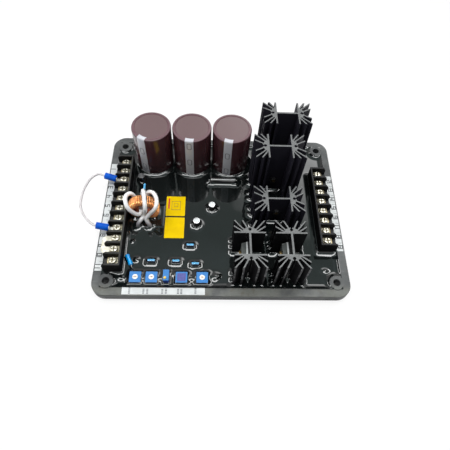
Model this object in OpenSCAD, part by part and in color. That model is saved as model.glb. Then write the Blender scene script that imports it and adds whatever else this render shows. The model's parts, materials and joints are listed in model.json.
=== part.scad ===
// Potted automatic voltage regulator: a shallow moulded tray filled with black resin,
// with capacitors, heat sinks, trimmers and two screw terminal strips standing out of it.
// Origin at the middle of the mounting face, +X to the right, +Y to the back, +Z up.

/* [Tray] */
// Width of the tray, left to right
tray_w = 214; // [210:1:240]
// Depth of the tray, front to back
tray_d = 168; // [166:1:190]
// Height of the rim above the mounting face
tray_h = 12; // [11.5:0.5:14]
// Width of the flat rim
rim_w = 7.5; // [6:0.5:8]
// Corner radius of the rim
tray_corner_r = 12; // [10:0.5:14]
// Radius of the rounded upper edge of the rim
rim_edge_r = 0.8; // [0.4:0.1:2]
// Set-back of the skirt under the rim
skirt_inset = 1.8; // [1:0.2:3]
// Height of the skirt
skirt_h = 4.5; // [3:0.5:6]
// Corner radius of the skirt
skirt_corner_r = 22; // [16:1:23]
// Corner radius of the resin well
well_corner_r = 10; // [6:0.5:12]
// Thickness of the tray floor
floor_t = 2.5; // [2:0.1:3]
// Spacing of the mounting holes, left to right
hole_pitch_x = 190.5; // [188:0.5:192]
// Spacing of the mounting holes, front to back
hole_pitch_y = 142.9; // [142:0.1:145]
// Diameter of the mounting holes
hole_d = 6.2; // [4:0.2:7]
// Diameter of the corner bosses
boss_d = 12.6; // [11:0.2:13]
// Height of the boss tops above the rim
boss_rise = 1; // [0.2:0.1:2]

/* [Board and resin] */
// Height of the posts that carry the board
post_h = 3.9; // [3:0.1:4.5]
// Diameter of the posts
post_d = 9; // [6:0.5:12]
// Distance of the outer posts from the side walls of the well
post_in_x = 26; // [20:1:34]
// Distance of the posts from the front and back walls of the well
post_in_y = 32; // [24:1:40]
// Thickness of the circuit board
board_t = 1.6; // [1:0.1:2]
// Gap between the board's edge and the tray wall
board_gap = 1.2; // [0.6:0.1:3]
// Drop from the rim down to the resin surface
resin_drop = 1; // [0.4:0.1:1.6]
// Room round each potted piece
pot_gap = 0.1; // [0.05:0.01:0.2]
// Height of the resin that creeps up round a can
creep_r = 1.6; // [0.8:0.1:2.4]

/* [Capacitors] */
// Diameter of the main capacitors
cap_d = 35; // [30:0.5:36]
// Height of the main capacitors
cap_h = 50; // [30:1:60]
// Gap between neighbouring main capacitors
cap_gap = 1; // [0.5:0.1:2]
// Gap between the first capacitor and the left terminal strip
cap_side_gap = 1.5; // [1:0.1:3]
// Gap between the capacitors and the back wall of the well
cap_back_gap = 2.7; // [1.5:0.1:6]
// Roll of the can's upper and lower edges
cap_edge_r = 1.4; // [0.5:0.1:2]
// Depth of the dish in the capacitor's top
cap_dish = 0.5; // [0.2:0.1:1]
// Width of the rolled lip round the dish
cap_lip_w = 2.6; // [1.5:0.1:4]
// Diameter of the small upright capacitors
small_cap_d = 6.2; // [4:0.1:6.4]
// Height of the small upright capacitors
small_cap_h = 10.8; // [8:0.2:13]
// Length of the film capacitors
film_l = 7.2; // [5:0.1:9]
// Thickness of the film capacitors
film_t = 3; // [2:0.1:4]
// Height of the film capacitors
film_h = 6.6; // [5:0.1:9]

/* [Heat sinks] */
// Length of the section across both fans
sink_l = 41.9; // [38:0.1:44]
// Width of the section over the fin tips
sink_w = 25.4; // [22:0.1:27]
// Length of the web between the crossbars
web_l = 18.3; // [17.2:0.1:20]
// Thickness of the web
web_t = 1.7; // [1.2:0.1:2.4]
// Thickness of the crossbars
crossbar_t = 1.4; // [1:0.1:2]
// Thickness of the fins
fin_t = 1.2; // [0.9:0.1:1.5]
// Height of the two tall heat sinks
tall_sink_h = 63.5; // [45:0.5:70]
// Height of the three short heat sinks
short_sink_h = 38.1; // [36:0.1:45]
// Gap between the rear heat sink and the row of main capacitors
rear_sink_gap = 9; // [4:0.5:11]
// Gap between the rear heat sink and the back wall of the well
sink_wall_gap = 1; // [0.5:0.1:2]
// Gap between the front heat sinks and the front wall of the well
front_sink_gap = 2.4; // [1:0.1:3]
// Diameter of the solder pins
pin_d = 2.4; // [1.8:0.1:2.6]
// Length of the solder pins inside the heat sink
pin_l = 9; // [6:0.5:14]
// Fit between a pin and its hole
pin_fit = 0.05; // [0.02:0.01:0.1]

/* [Power devices] */
// Width of a power device
device_w = 15.9; // [12:0.1:16.4]
// Height of a power device's body
device_h = 20.8; // [16:0.1:22]
// Thickness of the metal back of a power device
device_tab_t = 2; // [1:0.1:2.4]
// Thickness of the moulded part of a power device
device_mould_t = 3; // [2:0.1:4]
// Length of the legs between board and body
device_leg_l = 4.7; // [3.5:0.1:7]
// Distance of the fixing hole below the top of the device
device_hole_drop = 6.1; // [5:0.1:8]
// Diameter of the fixing screws
fix_d = 3; // [2.5:0.1:3.5]
// Diameter of the fixing screw heads
fix_head_d = 5.6; // [5:0.1:6.5]
// Height of the fixing screw heads
fix_head_h = 1.9; // [1.4:0.1:2.6]
// Width of the nuts across the flats
nut_w = 5.5; // [5:0.1:6.5]
// Height of the nuts
nut_h = 2.4; // [1.8:0.1:3]
// Room round the fixing screws
fix_fit = 0.2; // [0.1:0.05:0.4]

/* [Terminal strips] */
// Number of terminals on the left strip
left_terminals = 11; // [10:1:11]
// Number of terminals on the right strip
right_terminals = 8; // [4:1:11]
// Pitch of the terminals
term_pitch = 10.2; // [9.8:0.1:10.3]
// Width of a strip
strip_w = 15; // [14:0.1:16]
// Gap between a strip and the tray wall
strip_gap = 1.2; // [0.6:0.1:2]
// Height of the terminal floor above the board
strip_floor_h = 8.4; // [6:0.1:10]
// Height of the barriers above the board
barrier_h = 17; // [15.5:0.1:20]
// Thickness of the barriers
barrier_t = 1.8; // [1.2:0.1:2.2]
// Thickness of the strip's inner wall
strip_wall_t = 1.6; // [1.5:0.1:2.6]
// Slope of the barriers' outer corners
barrier_slope = 2.4; // [1:0.1:3]
// Distance of the screws from the strip's outer face
screw_in = 8.3; // [8:0.1:8.8]
// Length of a contact bar
contact_l = 9.6; // [8.5:0.1:10]
// Thickness of a contact bar
contact_t = 2.6; // [2:0.1:3]
// Room round a contact bar in its bay
contact_gap = 0.1; // [0.05:0.05:0.2]
// Width of the clamp plates along the strip
clamp_w = 7.2; // [6.4:0.1:7.4]
// Thickness of the clamp plates
clamp_t = 1; // [0.6:0.1:1.4]
// Diameter of the terminal screws
screw_d = 3.5; // [3:0.1:4]
// Diameter of the terminal screw heads
screw_head_d = 6.2; // [5.4:0.1:6.8]
// Height of the terminal screw heads
screw_head_h = 2.3; // [1.6:0.1:3]
// Width of the screwdriver slots
screw_slot_w = 1; // [0.6:0.1:1.2]
// Room round the terminal screws
screw_fit = 0.1; // [0.05:0.05:0.2]

/* [Jumper and link] */
// Thickness of the lugs and of the link
lug_t = 0.8; // [0.5:0.1:1]
// Width of a lug's fork
lug_w = 7; // [6.4:0.1:7.4]
// Diameter of a lug's barrel
barrel_d = 3.4; // [2.6:0.1:3.8]
// Length of a lug's barrel
barrel_l = 10.4; // [8:0.1:12]
// Diameter of the insulating sleeves
sleeve_d = 4.8; // [4.4:0.1:5.2]
// Upward tilt of the lug barrels
lug_tilt = 12; // [8:1:16]
// Diameter of the jumper wire
wire_d = 2.2; // [1.6:0.1:2.6]

/* [Toroid] */
// Outer diameter of the core
core_od = 24.5; // [20:0.1:26]
// Inner diameter of the core
core_id = 17.5; // [16:0.1:18]
// Length of the core along its axis
core_l = 6.8; // [5:0.1:8]
// Rounding of the core's edges
core_edge_r = 1.4; // [0.6:0.1:1.6]
// Diameter of the winding wire
winding_wire_d = 1.2; // [0.8:0.05:1.3]
// Number of turns in the winding
winding_turns = 34; // [16:1:36]
// Gap between core and winding
winding_gap = 0.3; // [0.05:0.05:0.4]
// Diameter of the white lead through the core
lead_d = 3.6; // [2.4:0.1:3.8]

/* [Trimmers and resistors] */
// Side of the square trimmers
trimmer_w = 9.5; // [8:0.1:10.4]
// Height of the square trimmers
trimmer_h = 5.8; // [4.6:0.1:7]
// Width of the many-turn trimmer
tall_trimmer_w = 4.8; // [4:0.1:6]
// Height of the many-turn trimmer
tall_trimmer_h = 10; // [8:0.1:11]
// Diameter of the trimmer rotors
rotor_d = 4.4; // [3.4:0.1:6]
// Height of the trimmer rotors
rotor_h = 1.7; // [1.2:0.1:2.4]
// Height of the rotor above the trimmer's top
rotor_rise = 0.3; // [0.1:0.05:0.6]
// Running fit between rotor and trimmer
rotor_fit = 0.08; // [0.04:0.01:0.1]
// Diameter of the many-turn adjusting screw
adjuster_d = 2.2; // [1.6:0.1:2.6]
// Side of the seal over the fixed trimmer
seal_w = 7; // [5:0.1:7.8]
// Gap between the trimmers and the front wall of the well
trimmer_front_gap = 3.5; // [2:0.1:5]
// Diameter of the slanted resistor
slant_d = 3.4; // [2.4:0.1:3.6]
// Length of the slanted resistor
slant_l = 10.6; // [8:0.1:11]
// Diameter of the signal resistor
signal_d = 2.5; // [1.8:0.1:3]
// Length of the signal resistor
signal_l = 6.6; // [5:0.1:8]
// Diameter of the black power resistor
rod_d = 5; // [4:0.1:6]
// Length of the black power resistor
rod_l = 24.6; // [18:0.1:26]
// Gap between the black power resistor and the main capacitors
rod_gap = 4.7; // [3:0.1:6]
// Diameter of the resistor legs
leg_d = 0.8; // [0.5:0.05:1]
// Gap between the resin and the resistors
resistor_lift = 0.5; // [0.3:0.1:1]

/* [Labels] */
// Thickness of the labels
label_t = 0.15; // [0.1:0.05:0.3]
// Set-back of the rim labels from the rim's edges
label_margin = 0.3; // [0.1:0.1:1.4]
// Length of the front rim label
front_label_l = 67; // [40:1:80]
// Distance of the front rim label from the left side of the tray
front_label_in = 25.5; // [22:0.5:40]
// Width of the yellow labels
yellow_w = 17.2; // [14:0.1:18]
// Depth of the yellow labels
yellow_d = 21.2; // [16:0.1:22]
// Gap between the yellow labels
yellow_gap = 1.6; // [0.8:0.1:4]

/* [Hidden] */
$fn = 48;
eps = 0.02;

// Heights of the main levels
board_z = floor_t + post_h;
board_top = board_z + board_t;
resin_top = tray_h - resin_drop;
contact_top = board_top + strip_floor_h + contact_t;

// Faces of the resin well and of the terminal strips
well_x = tray_w / 2 - rim_w;
well_y = tray_d / 2 - rim_w;
strip_out = well_x - strip_gap;
strip_in = strip_out - strip_w;
screw_x = strip_out - screw_in;
bay_w = term_pitch - barrier_t;
contact_start = strip_in + strip_wall_t + contact_gap - screw_x;
clamp_l = clamp_w / 2 - contact_start;

// Middles of the terminal strips, and the terminals that hold a lug or the link
left_strip_y = -6.4;
right_strip_y = -0.8;
rear_lug_terminal = 2;
front_lug_terminal = 7;
link_terminals = [8, 9];

// Places measured from the left strip's inner face and from the front wall of the well
function from_left(x) = x - strip_in;
function from_front(y) = y - well_y;

// Places of the main capacitors, in a row along the back wall
cap_y = well_y - cap_back_gap - cap_d / 2;
cap_x = [for (i = [0:2]) from_left(cap_side_gap + cap_d / 2 + i * (cap_d + cap_gap))];
cap_row_end = cap_x[2] + cap_d / 2;
cap_front = cap_y - cap_d / 2;

// Places of the heat sinks: middle, turn and height of each
sink_at = [
  [cap_row_end + rear_sink_gap + sink_l / 2, well_y - sink_wall_gap - sink_w / 2],
  [46.1, 24.8],
  [46.4, -10.3],
  [20.5, from_front(front_sink_gap + sink_l / 2)],
  [53.8, from_front(front_sink_gap + sink_l / 2)]
];
sink_turn = [0, 0, 0, 90, 90];
sink_height = [tall_sink_h, tall_sink_h, short_sink_h, short_sink_h, short_sink_h];

// Points of a heat sink's fan: its hub, and where the fins leave it and end
hub_out = 3.55;
hub_root = [0, 7];
hub_shoulder = [4, 4.5];
hub_tip = [5.5, 1.2];
hub_slot = [4, 1.6];
hub_x = web_l / 2 + hub_out;
fan_l = (sink_l - web_l) / 2;
fin_roots = [[1.2, 5.2], [2.4, 4.2], [4.2, 1.9]];
fin_tips = [[7.3, sink_w / 2 + fin_t], [fan_l + fin_t, sink_w / 2 + fin_t / 2], [fan_l + fin_t, sink_w / 4]];

// Height of a power device's fixing hole, and the section of its legs
device_hole_z = device_leg_l + device_h - device_hole_drop;
device_leg = [1.2, 0.7];
device_draft = 0.8;

// Places of the trimmers, in a row along the front wall
trimmer_x = [for (x = [11.6, 24.8, 37, 49.4, 66.4]) from_left(x)];
trimmer_y = from_front(trimmer_front_gap + trimmer_w / 2);
tall_trimmer = 2;
adjuster_corner = [0.5, 1.1];
adjuster_rise = 0.9;
adjuster_at = [adjuster_corner[0] + (adjuster_d - tall_trimmer_w) / 2,
  adjuster_corner[1] + (adjuster_d - trimmer_w) / 2, 0];
seal_t = 0.2;
trimmer_corner_r = 0.5;

// Places of the small parts
small_cap_at = [[from_left(73.9), 0.7], [from_left(60.5), -16.5], [from_left(7.9), cap_front - 7.3]];
film_in = [[55.5, 38.3], [23.5, 23.2], [44.1, 23], [60.4, 20.7]];
film_at = [for (p = film_in) [from_left(p[0]), from_front(p[1])]];
slant_at = [from_left(4.9), from_front(23.7)];
slant_turn = 115;
signal_at = [from_left(10.9), cap_front - 15.7];
rod_at = [1, cap_front - rod_gap - rod_d / 2];
toroid_at = [from_left(14.1), -5.9];
yellow_at = [from_left(40.9), -8.3];
leg_out = 1.2;
rim_label_w = rim_w - rim_edge_r - 2 * label_margin;
label_corner_r = 0.6;

// Sizes of the wound toroid: the winding's middle line lies one gap and half a wire off the core
winding_off = winding_gap + winding_wire_d / 2;
winding_in_r = core_id / 2 - winding_off;
winding_out_r = core_od / 2 + winding_off;
winding_half_l = core_l / 2 + winding_off;
winding_steps = 12;
winding_start = 280;
winding_span = 340;
toroid_z = board_top + winding_out_r + winding_wire_d / 2 + pot_gap;

// Route of the white lead through the toroid, from the toroid's middle
lead_route = [
  [-5.2, -12.6, board_top - toroid_z], [-5.2, -12.6, -10.5], [-4.2, -12, -6.6], [-1.8, -10, -3.6],
  [0, -6, -3], [0, 0, -3.4], [-1.2, 6.8, -2.6], [-5, 8.2, 0], [-8.4, 8.2, 4.4], [-9.8, 8, 8.4],
  [-11.6, 6.8, 11], [-13.7, 4, 12.4], [-14.1, 0, 13.4], [-13.4, -4, 14], [-12, -7.2, 12],
  [-10, -8.6, 8.4], [-7.4, -8.6, 4.6], [-4.4, -7.4, 1.6], [-3, -3.6, 1], [-3, 1, 1.4],
  [-1.9, 6.6, 4.2], [-0.6, 8.2, 9.6], [0.2, 7.8, 14], [1, 5.4, 16.4], [1.8, 1.6, 16.8],
  [2.6, -3.4, 16.4], [3.2, -7.4, 14.2], [2.8, -8.8, 9.6], [2.2, -7.6, 5], [1.6, -3, 2.8],
  [1.6, 1, 2.8], [2.4, 6.6, 5], [3.6, 8.4, 9.6], [6.2, 8.2, 12], [9.4, 5.6, 13.6], [11.8, 1, 14],
  [12.8, -4, 14.2], [12.2, -7.4, 13], [10.4, -8.8, 9.6], [7.1, -8.8, 4.8], [4.6, -9.4, 1.4],
  [2.8, -10.2, -1.8], [3.4, -11.6, -4.8], [4.8, -12.5, -7.6], [5, -12.6, -10.5],
  [5, -12.6, board_top - toroid_z]
];

// Route of the jumper wire between its two lugs
jumper_route = [
  [-109.5, 27.8, 23.4], [-113, 28.4, 23.6], [-116.8, 27, 23], [-120.4, 23.6, 22],
  [-123.2, 18.4, 20.6], [-125.4, 12.2, 19.2], [-126.2, 4.4, 18.2], [-125.8, -2, 17.8],
  [-124, -7.4, 18.2], [-121.4, -12.2, 19], [-118, -17, 20.2], [-114, -21.6, 21.6],
  [-110.4, -24.6, 22.6]
];

// Turn of the lugs away from straight out, and the places of their fork, barrel and sleeve
rear_lug_turn = 10;
front_lug_turn = 4;
barrel_out = 7;
fork_end = 2.6;
fork_tip = 1.2;
sleeve_start = 1;
wire_stub = 1.4;

// Strap of the terminal link, beside the ends of the barriers
link_narrow = 0.6;
link_gap = 0.4;
link_strap_w = 2.6;

// Place of terminal i on a strip that has n terminals
function terminal_y(i, n, mid) = mid + ((n - 1) / 2 - i) * term_pitch;
function left_y(i) = terminal_y(i, left_terminals, left_strip_y);
function right_y(i) = terminal_y(i, right_terminals, right_strip_y);
function holds_lug(i) = i == rear_lug_terminal || i == front_lug_terminal
  || i == link_terminals[0] || i == link_terminals[1];
function lug_lift(i) = holds_lug(i) ? lug_t : 0;

// Vector helpers
function unit(v) = v / norm(v);
function turned(p, a) = [p[0] * cos(a) - p[1] * sin(a), p[0] * sin(a) + p[1] * cos(a), p[2]];

// Point on a lug's barrel axis, at a distance from the barrel's start
function barrel_point(i, turn, along) = [-screw_x, left_y(i), contact_top] + turned(
  [barrel_out + along * cos(lug_tilt), 0, barrel_d / 2 + along * sin(lug_tilt)], 180 - turn);

// Smooth curve through a list of points, with n steps between neighbours
function spline_point(a, b, c, d, t) = 0.5 * (2 * b + (c - a) * t
  + (2 * a - 5 * b + 4 * c - d) * t * t + (3 * b - a - 3 * c + d) * t * t * t);
function smooth(p, n) = let (last = len(p) - 1) concat(
  [for (i = [0:last - 1], j = [0:n - 1])
    spline_point(p[max(i - 1, 0)], p[i], p[i + 1], p[min(i + 2, last)], j / n)],
  [p[last]]);

// The same curve, with its first and last stretch left straight
function smooth_between(p, n) = let (last = len(p) - 1)
  concat([p[0]], smooth([for (i = [1:last - 1]) p[i]], n), [p[last]]);

// Directions and carried normals along a route
function directions(p) = let (last = len(p) - 1)
  [for (i = [0:last]) unit(p[min(i + 1, last)] - p[max(i - 1, 0)])];
function normals(t, n, i = 0) = i == len(t) ? [] : let (m = unit(n - (n * t[i]) * t[i]))
  concat([m], normals(t, m, i + 1));

// Faces of a tube of rings, closed at both ends
function tube_faces(rings, sides) = concat(
  [[for (j = [sides - 1:-1:0]) j]],
  [for (i = [0:rings - 2], j = [0:sides - 1]) let (k = (j + 1) % sides)
    [i * sides + j, i * sides + k, (i + 1) * sides + k, (i + 1) * sides + j]],
  [[for (j = [0:sides - 1]) (rings - 1) * sides + j]]);

// Round tube swept along a route
module tube(route, d, sides, start_normal) {
  t = directions(route);
  n = normals(t, start_normal);
  points = [for (i = [0:len(route) - 1], j = [0:sides - 1]) let (a = -360 * j / sides)
    route[i] + d / 2 * (cos(a) * n[i] + sin(a) * cross(n[i], t[i]))];
  polyhedron(points, tube_faces(len(route), sides), convexity = 10);
}

module round_rect(w, d, r) {
  square([w - 2 * r, d], center = true);
  square([w, d - 2 * r], center = true);
  for (x = [-1, 1], y = [-1, 1]) translate([x * (w / 2 - r), y * (d / 2 - r)]) circle(r);
}

// A straight bar of thickness t between two points of a section
module bar(a, b, t) {
  run = b - a;
  translate(a) rotate(atan2(run[1], run[0])) translate([0, -t / 2]) square([norm(run), t]);
}

// Copies a piece to the four mounting holes
module at_holes() {
  for (x = [-1, 1], y = [-1, 1]) translate([x * hole_pitch_x / 2, y * hole_pitch_y / 2]) children();
}

// Copies a piece to the posts under the board
module at_posts() {
  for (x = [-1, 0, 1], y = [-1, 1])
    translate([x * (well_x - post_in_x), y * (well_y - post_in_y)]) children();
}

// Sweeps an edge section round a rounded rectangle; x = 0 of the section is the outer edge
module swept_edge(w, d, r) {
  for (i = [0:3]) {
    span = i % 2 == 0 ? [w, d] : [d, w];
    rotate(90 * i) {
      translate([span[0] / 2, span[1] / 2 - r, 0]) rotate([90, 0, 0])
        linear_extrude(span[1] - 2 * r) children();
      translate([span[0] / 2 - r, span[1] / 2 - r, 0])
        rotate_extrude(angle = 90) translate([r, 0]) children();
    }
  }
}

module rim_edge_section() {
  depth = 2 * rim_edge_r;
  translate([-depth, skirt_h]) square([depth, tray_h - skirt_h - rim_edge_r]);
  translate([-depth, tray_h - depth]) square([depth - rim_edge_r, depth]);
  translate([-rim_edge_r, tray_h - rim_edge_r]) circle(rim_edge_r);
}

module well_outline() {
  difference() {
    round_rect(2 * well_x, 2 * well_y, well_corner_r);
    at_holes() circle(d = boss_d);
  }
}

module tray() {
  color("#3b3c3d") difference() {
    union() {
      difference() {
        union() {
          linear_extrude(skirt_h + eps)
            round_rect(tray_w - 2 * skirt_inset, tray_d - 2 * skirt_inset, skirt_corner_r);
          translate([0, 0, skirt_h]) linear_extrude(tray_h - skirt_h)
            round_rect(tray_w - 2 * rim_edge_r, tray_d - 2 * rim_edge_r, tray_corner_r - rim_edge_r);
          swept_edge(tray_w, tray_d, tray_corner_r) rim_edge_section();
        }
        translate([0, 0, floor_t]) linear_extrude(tray_h)
          round_rect(2 * well_x, 2 * well_y, well_corner_r);
      }
      at_holes() cylinder(d = boss_d, h = tray_h + boss_rise);
      at_posts() cylinder(d = post_d, h = board_z);
    }
    at_holes() translate([0, 0, -1]) cylinder(d = hole_d, h = tray_h + boss_rise + 2);
  }
}

module circuit_board() {
  color("#2f5a34") translate([0, 0, board_z]) linear_extrude(board_t) difference() {
    round_rect(2 * (well_x - board_gap), 2 * (well_y - board_gap), well_corner_r - board_gap);
    at_holes() circle(d = boss_d + 2 * board_gap);
  }
}

// A concave collar of resin round a can
module creep(d) {
  translate([0, 0, resin_top]) rotate_extrude() translate([d / 2, 0]) difference() {
    translate([-creep_r, -creep_r]) square([2 * creep_r, 2 * creep_r]);
    translate([creep_r, creep_r]) circle(creep_r);
  }
}

module potting_resin() {
  potted = resin_top + 2 * creep_r;
  color("#101112") difference() {
    union() {
      translate([0, 0, floor_t]) linear_extrude(resin_top - floor_t) well_outline();
      for (x = cap_x) translate([x, cap_y]) creep(cap_d);
      for (p = small_cap_at) translate(p) creep(small_cap_d);
    }
    translate([0, 0, board_z]) linear_extrude(board_t) offset_board();
    at_posts() translate([0, 0, floor_t - 1]) cylinder(d = post_d + 2 * pot_gap, h = board_z - floor_t + 1);
    translate([0, 0, board_top - board_t / 2]) {
      for (x = cap_x) translate([x, cap_y]) cylinder(d = cap_d + 2 * pot_gap, h = potted);
      for (p = small_cap_at) translate(p) cylinder(d = small_cap_d + 2 * pot_gap, h = potted);
      for (i = [0:4]) place_sink(i) linear_extrude(potted) sink_section(pot_gap);
      linear_extrude(potted) {
        for (i = [0:4]) place_trimmer(i) square(trimmer_size(i) + [1, 1] * 2 * pot_gap, center = true);
        for (p = film_at) translate(p) square([film_l + 2 * pot_gap, film_t + 2 * pot_gap], center = true);
        strip_outline(-1, left_terminals, left_strip_y, pot_gap);
        strip_outline(1, right_terminals, right_strip_y, pot_gap);
      }
    }
    for (i = [0:4]) place_device(i) device_legs(pot_gap);
    place_slanted() resistor_legs(slant_l, slant_d, pot_gap);
    place_signal() resistor_legs(signal_l, signal_d, pot_gap);
    place_rod() resistor_legs(rod_l, rod_d, pot_gap);
    translate([toroid_at[0], toroid_at[1], toroid_z]) rotate([90, 0, 0])
      cylinder(r = winding_out_r + winding_wire_d / 2 + pot_gap,
        h = 2 * winding_half_l + winding_wire_d + 2 * pot_gap, center = true);
    for (i = [0, len(lead_route) - 1])
      translate([toroid_at[0] + lead_route[i][0], toroid_at[1] + lead_route[i][1], board_top - board_t / 2])
        cylinder(d = lead_d + 2 * pot_gap, h = potted);
  }
}

module offset_board() {
  gap = board_gap - pot_gap;
  difference() {
    round_rect(2 * (well_x - gap), 2 * (well_y - gap), well_corner_r - gap);
    at_holes() circle(d = boss_d + 2 * gap);
  }
}

// Can with rolled edges and a dished top
module can(d, h, edge_r, lip_w, dish) {
  rotate_extrude() difference() {
    union() {
      translate([0, edge_r]) square([d / 2, h - 2 * edge_r]);
      square([d / 2 - edge_r, h]);
      translate([d / 2 - edge_r, edge_r]) circle(edge_r);
      translate([d / 2 - edge_r, h - edge_r]) circle(edge_r);
    }
    translate([-1, h - dish]) square([d / 2 - lip_w + 1, 2 * dish]);
    translate([-d, -1]) square([d, h + 2]);
  }
}

module main_capacitor(i) {
  color("#6b4247") translate([cap_x[i], cap_y, board_top]) can(cap_d, cap_h, cap_edge_r, cap_lip_w, cap_dish);
}

module capacitor_left() { main_capacitor(0); }
module capacitor_middle() { main_capacitor(1); }
module capacitor_right() { main_capacitor(2); }

module small_capacitor(i) {
  edge = small_cap_d / 10;
  color("#c9ccd0") translate([small_cap_at[i][0], small_cap_at[i][1], board_top])
    can(small_cap_d, small_cap_h, edge, 1.5 * edge, edge / 3);
}

module small_capacitor_rear() { small_capacitor(0); }
module small_capacitor_front() { small_capacitor(1); }
module small_capacitor_left() { small_capacitor(2); }

module film_capacitor(i) {
  color("#6fa9d8") translate([film_at[i][0], film_at[i][1], board_top])
    linear_extrude(film_h) round_rect(film_l, film_t, film_t / 6);
}

module film_capacitor_1() { film_capacitor(0); }
module film_capacitor_2() { film_capacitor(1); }
module film_capacitor_3() { film_capacitor(2); }
module film_capacitor_4() { film_capacitor(3); }

// Section of a heat sink: two fans of fins on a web, with room added all round
module sink_section(room = 0) {
  grow = 2 * room;
  intersection() {
    union() {
      square([web_l + grow, web_t + grow], center = true);
      for (side = [0, 180]) rotate(side) translate([web_l / 2, 0]) fan_section(room);
    }
    square([sink_l + grow, sink_w + grow], center = true);
  }
}

// One fan: crossbar, hub with its slotted pin hole, and three fins each way
module fan_section(room) {
  grow = 2 * room;
  hub = [for (p = [hub_root, hub_shoulder, hub_tip]) p + [room, room]];
  translate([-room, -sink_w / 2 - room]) square([crossbar_t + grow, sink_w + grow]);
  difference() {
    polygon(concat([for (p = hub) [p[0], -p[1]]], [for (i = [2:-1:0]) hub[i]]));
    if (room == 0) translate([hub_out, 0]) {
      circle(d = pin_d + 2 * pin_fit);
      polygon([[0, 0], [hub_slot[0], -hub_slot[1]], hub_slot]);
    }
  }
  for (m = [0, 1]) mirror([0, m]) {
    for (i = [0:2]) bar(fin_roots[i], fin_tips[i], fin_t + grow);
  }
}

module place_sink(i) { translate(sink_at[i]) rotate(sink_turn[i]) children(); }

module heatsink(i) {
  color("#26282a") place_sink(i) translate([0, 0, board_top]) difference() {
    linear_extrude(sink_height[i]) sink_section();
    translate([0, 0, device_hole_z]) rotate([90, 0, 0])
      cylinder(d = fix_d + 2 * fix_fit, h = 4 * web_t, center = true);
  }
}

module heatsink_rear() { heatsink(0); }
module heatsink_middle() { heatsink(1); }
module heatsink_centre() { heatsink(2); }
module heatsink_front_left() { heatsink(3); }
module heatsink_front_right() { heatsink(4); }

module heatsink_pins() {
  color("#c8ccd0") for (i = [0:4], x = [-1, 1])
    place_sink(i) translate([x * hub_x, 0, board_top]) cylinder(d = pin_d, h = pin_l);
}

// A device stands on the +Y face of the web, in the heat sink's own frame
module place_device(i) { place_sink(i) translate([0, web_t / 2, board_top]) children(); }

module device_legs(room = 0) {
  leg_pitch = device_w / 3;
  leg = device_leg + [2, 2] * room;
  for (x = [-1, 0, 1]) translate([x * leg_pitch - leg[0] / 2, device_tab_t - leg[1] / 2, -room])
    cube([leg[0], leg[1], device_leg_l + room + eps]);
}

module power_device(i) {
  color("#3d3f42") place_device(i) difference() {
    union() {
      device_legs();
      translate([-device_w / 2, 0, device_leg_l]) cube([device_w, device_tab_t, device_h]);
      translate([0, 0, device_leg_l]) linear_extrude(device_h - device_draft) polygon([
        [-device_w / 2, device_tab_t - eps], [device_w / 2, device_tab_t - eps],
        [device_w / 2 - device_draft, device_tab_t + device_mould_t],
        [device_draft - device_w / 2, device_tab_t + device_mould_t]]);
    }
    translate([0, -1, device_hole_z]) rotate([-90, 0, 0])
      cylinder(d = fix_d + 2 * fix_fit, h = device_tab_t + device_mould_t + 2);
  }
}

module power_device_rear() { power_device(0); }
module power_device_middle() { power_device(1); }
module power_device_centre() { power_device(2); }
module power_device_front_left() { power_device(3); }
module power_device_front_right() { power_device(4); }

module device_screws() {
  grip = device_tab_t + device_mould_t;
  color("#b9bdc2") for (i = [0:4]) place_device(i) translate([0, grip, device_hole_z]) rotate([90, 0, 0]) {
    cylinder(d = fix_d, h = grip + web_t + nut_h);
    translate([0, 0, -fix_head_h]) difference() {
      cylinder(d = fix_head_d, h = fix_head_h);
      translate([-fix_head_d, -fix_d / 8, -fix_head_h / 2]) cube([2 * fix_head_d, fix_d / 4, fix_head_h]);
    }
  }
}

module device_nuts() {
  color("#b9bdc2") for (i = [0:4]) place_device(i) translate([0, -web_t, device_hole_z]) rotate([90, 0, 0])
    difference() {
      cylinder(d = nut_w / cos(30), h = nut_h, $fn = 6);
      translate([0, 0, -1]) cylinder(d = fix_d + 2 * pot_gap, h = nut_h + 2);
    }
}

// Outline of a strip on the board; side is -1 on the left and 1 on the right
module strip_outline(side, n, mid, room) {
  len_y = n * term_pitch + barrier_t;
  translate([side * (strip_in + strip_out) / 2, mid])
    square([strip_w + 2 * room, len_y + 2 * room], center = true);
}

// A moulded strip: base, inner wall and a barrier on each side of every bay
module terminal_block(side, n, mid) {
  len_y = n * term_pitch + barrier_t;
  base = [[strip_in, 0], [strip_out, 0], [strip_out, strip_floor_h],
    [strip_in + strip_wall_t, strip_floor_h], [strip_in + strip_wall_t, barrier_h], [strip_in, barrier_h]];
  barrier = [[strip_in, 0], [strip_out, 0], [strip_out, barrier_h - barrier_slope],
    [strip_out - barrier_slope, barrier_h], [strip_in, barrier_h]];
  color("#1b1b1c") translate([0, mid, board_top]) mirror([side < 0 ? 1 : 0, 0, 0]) {
    translate([0, len_y / 2, 0]) rotate([90, 0, 0]) linear_extrude(len_y) polygon(base);
    for (i = [0:n]) translate([0, (i - n / 2) * term_pitch + barrier_t / 2, 0]) rotate([90, 0, 0])
      linear_extrude(barrier_t) polygon(barrier);
  }
}

module terminal_block_left() { terminal_block(-1, left_terminals, left_strip_y); }
module terminal_block_right() { terminal_block(1, right_terminals, right_strip_y); }

// Copies a piece to every terminal, lifted where a lug or the link lies under the clamp plate
module at_terminals(lifted) {
  for (i = [0:left_terminals - 1])
    translate([-screw_x, left_y(i), contact_top + lifted * lug_lift(i)]) mirror([1, 0, 0]) children();
  for (i = [0:right_terminals - 1]) translate([screw_x, right_y(i), contact_top]) children();
}

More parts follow.
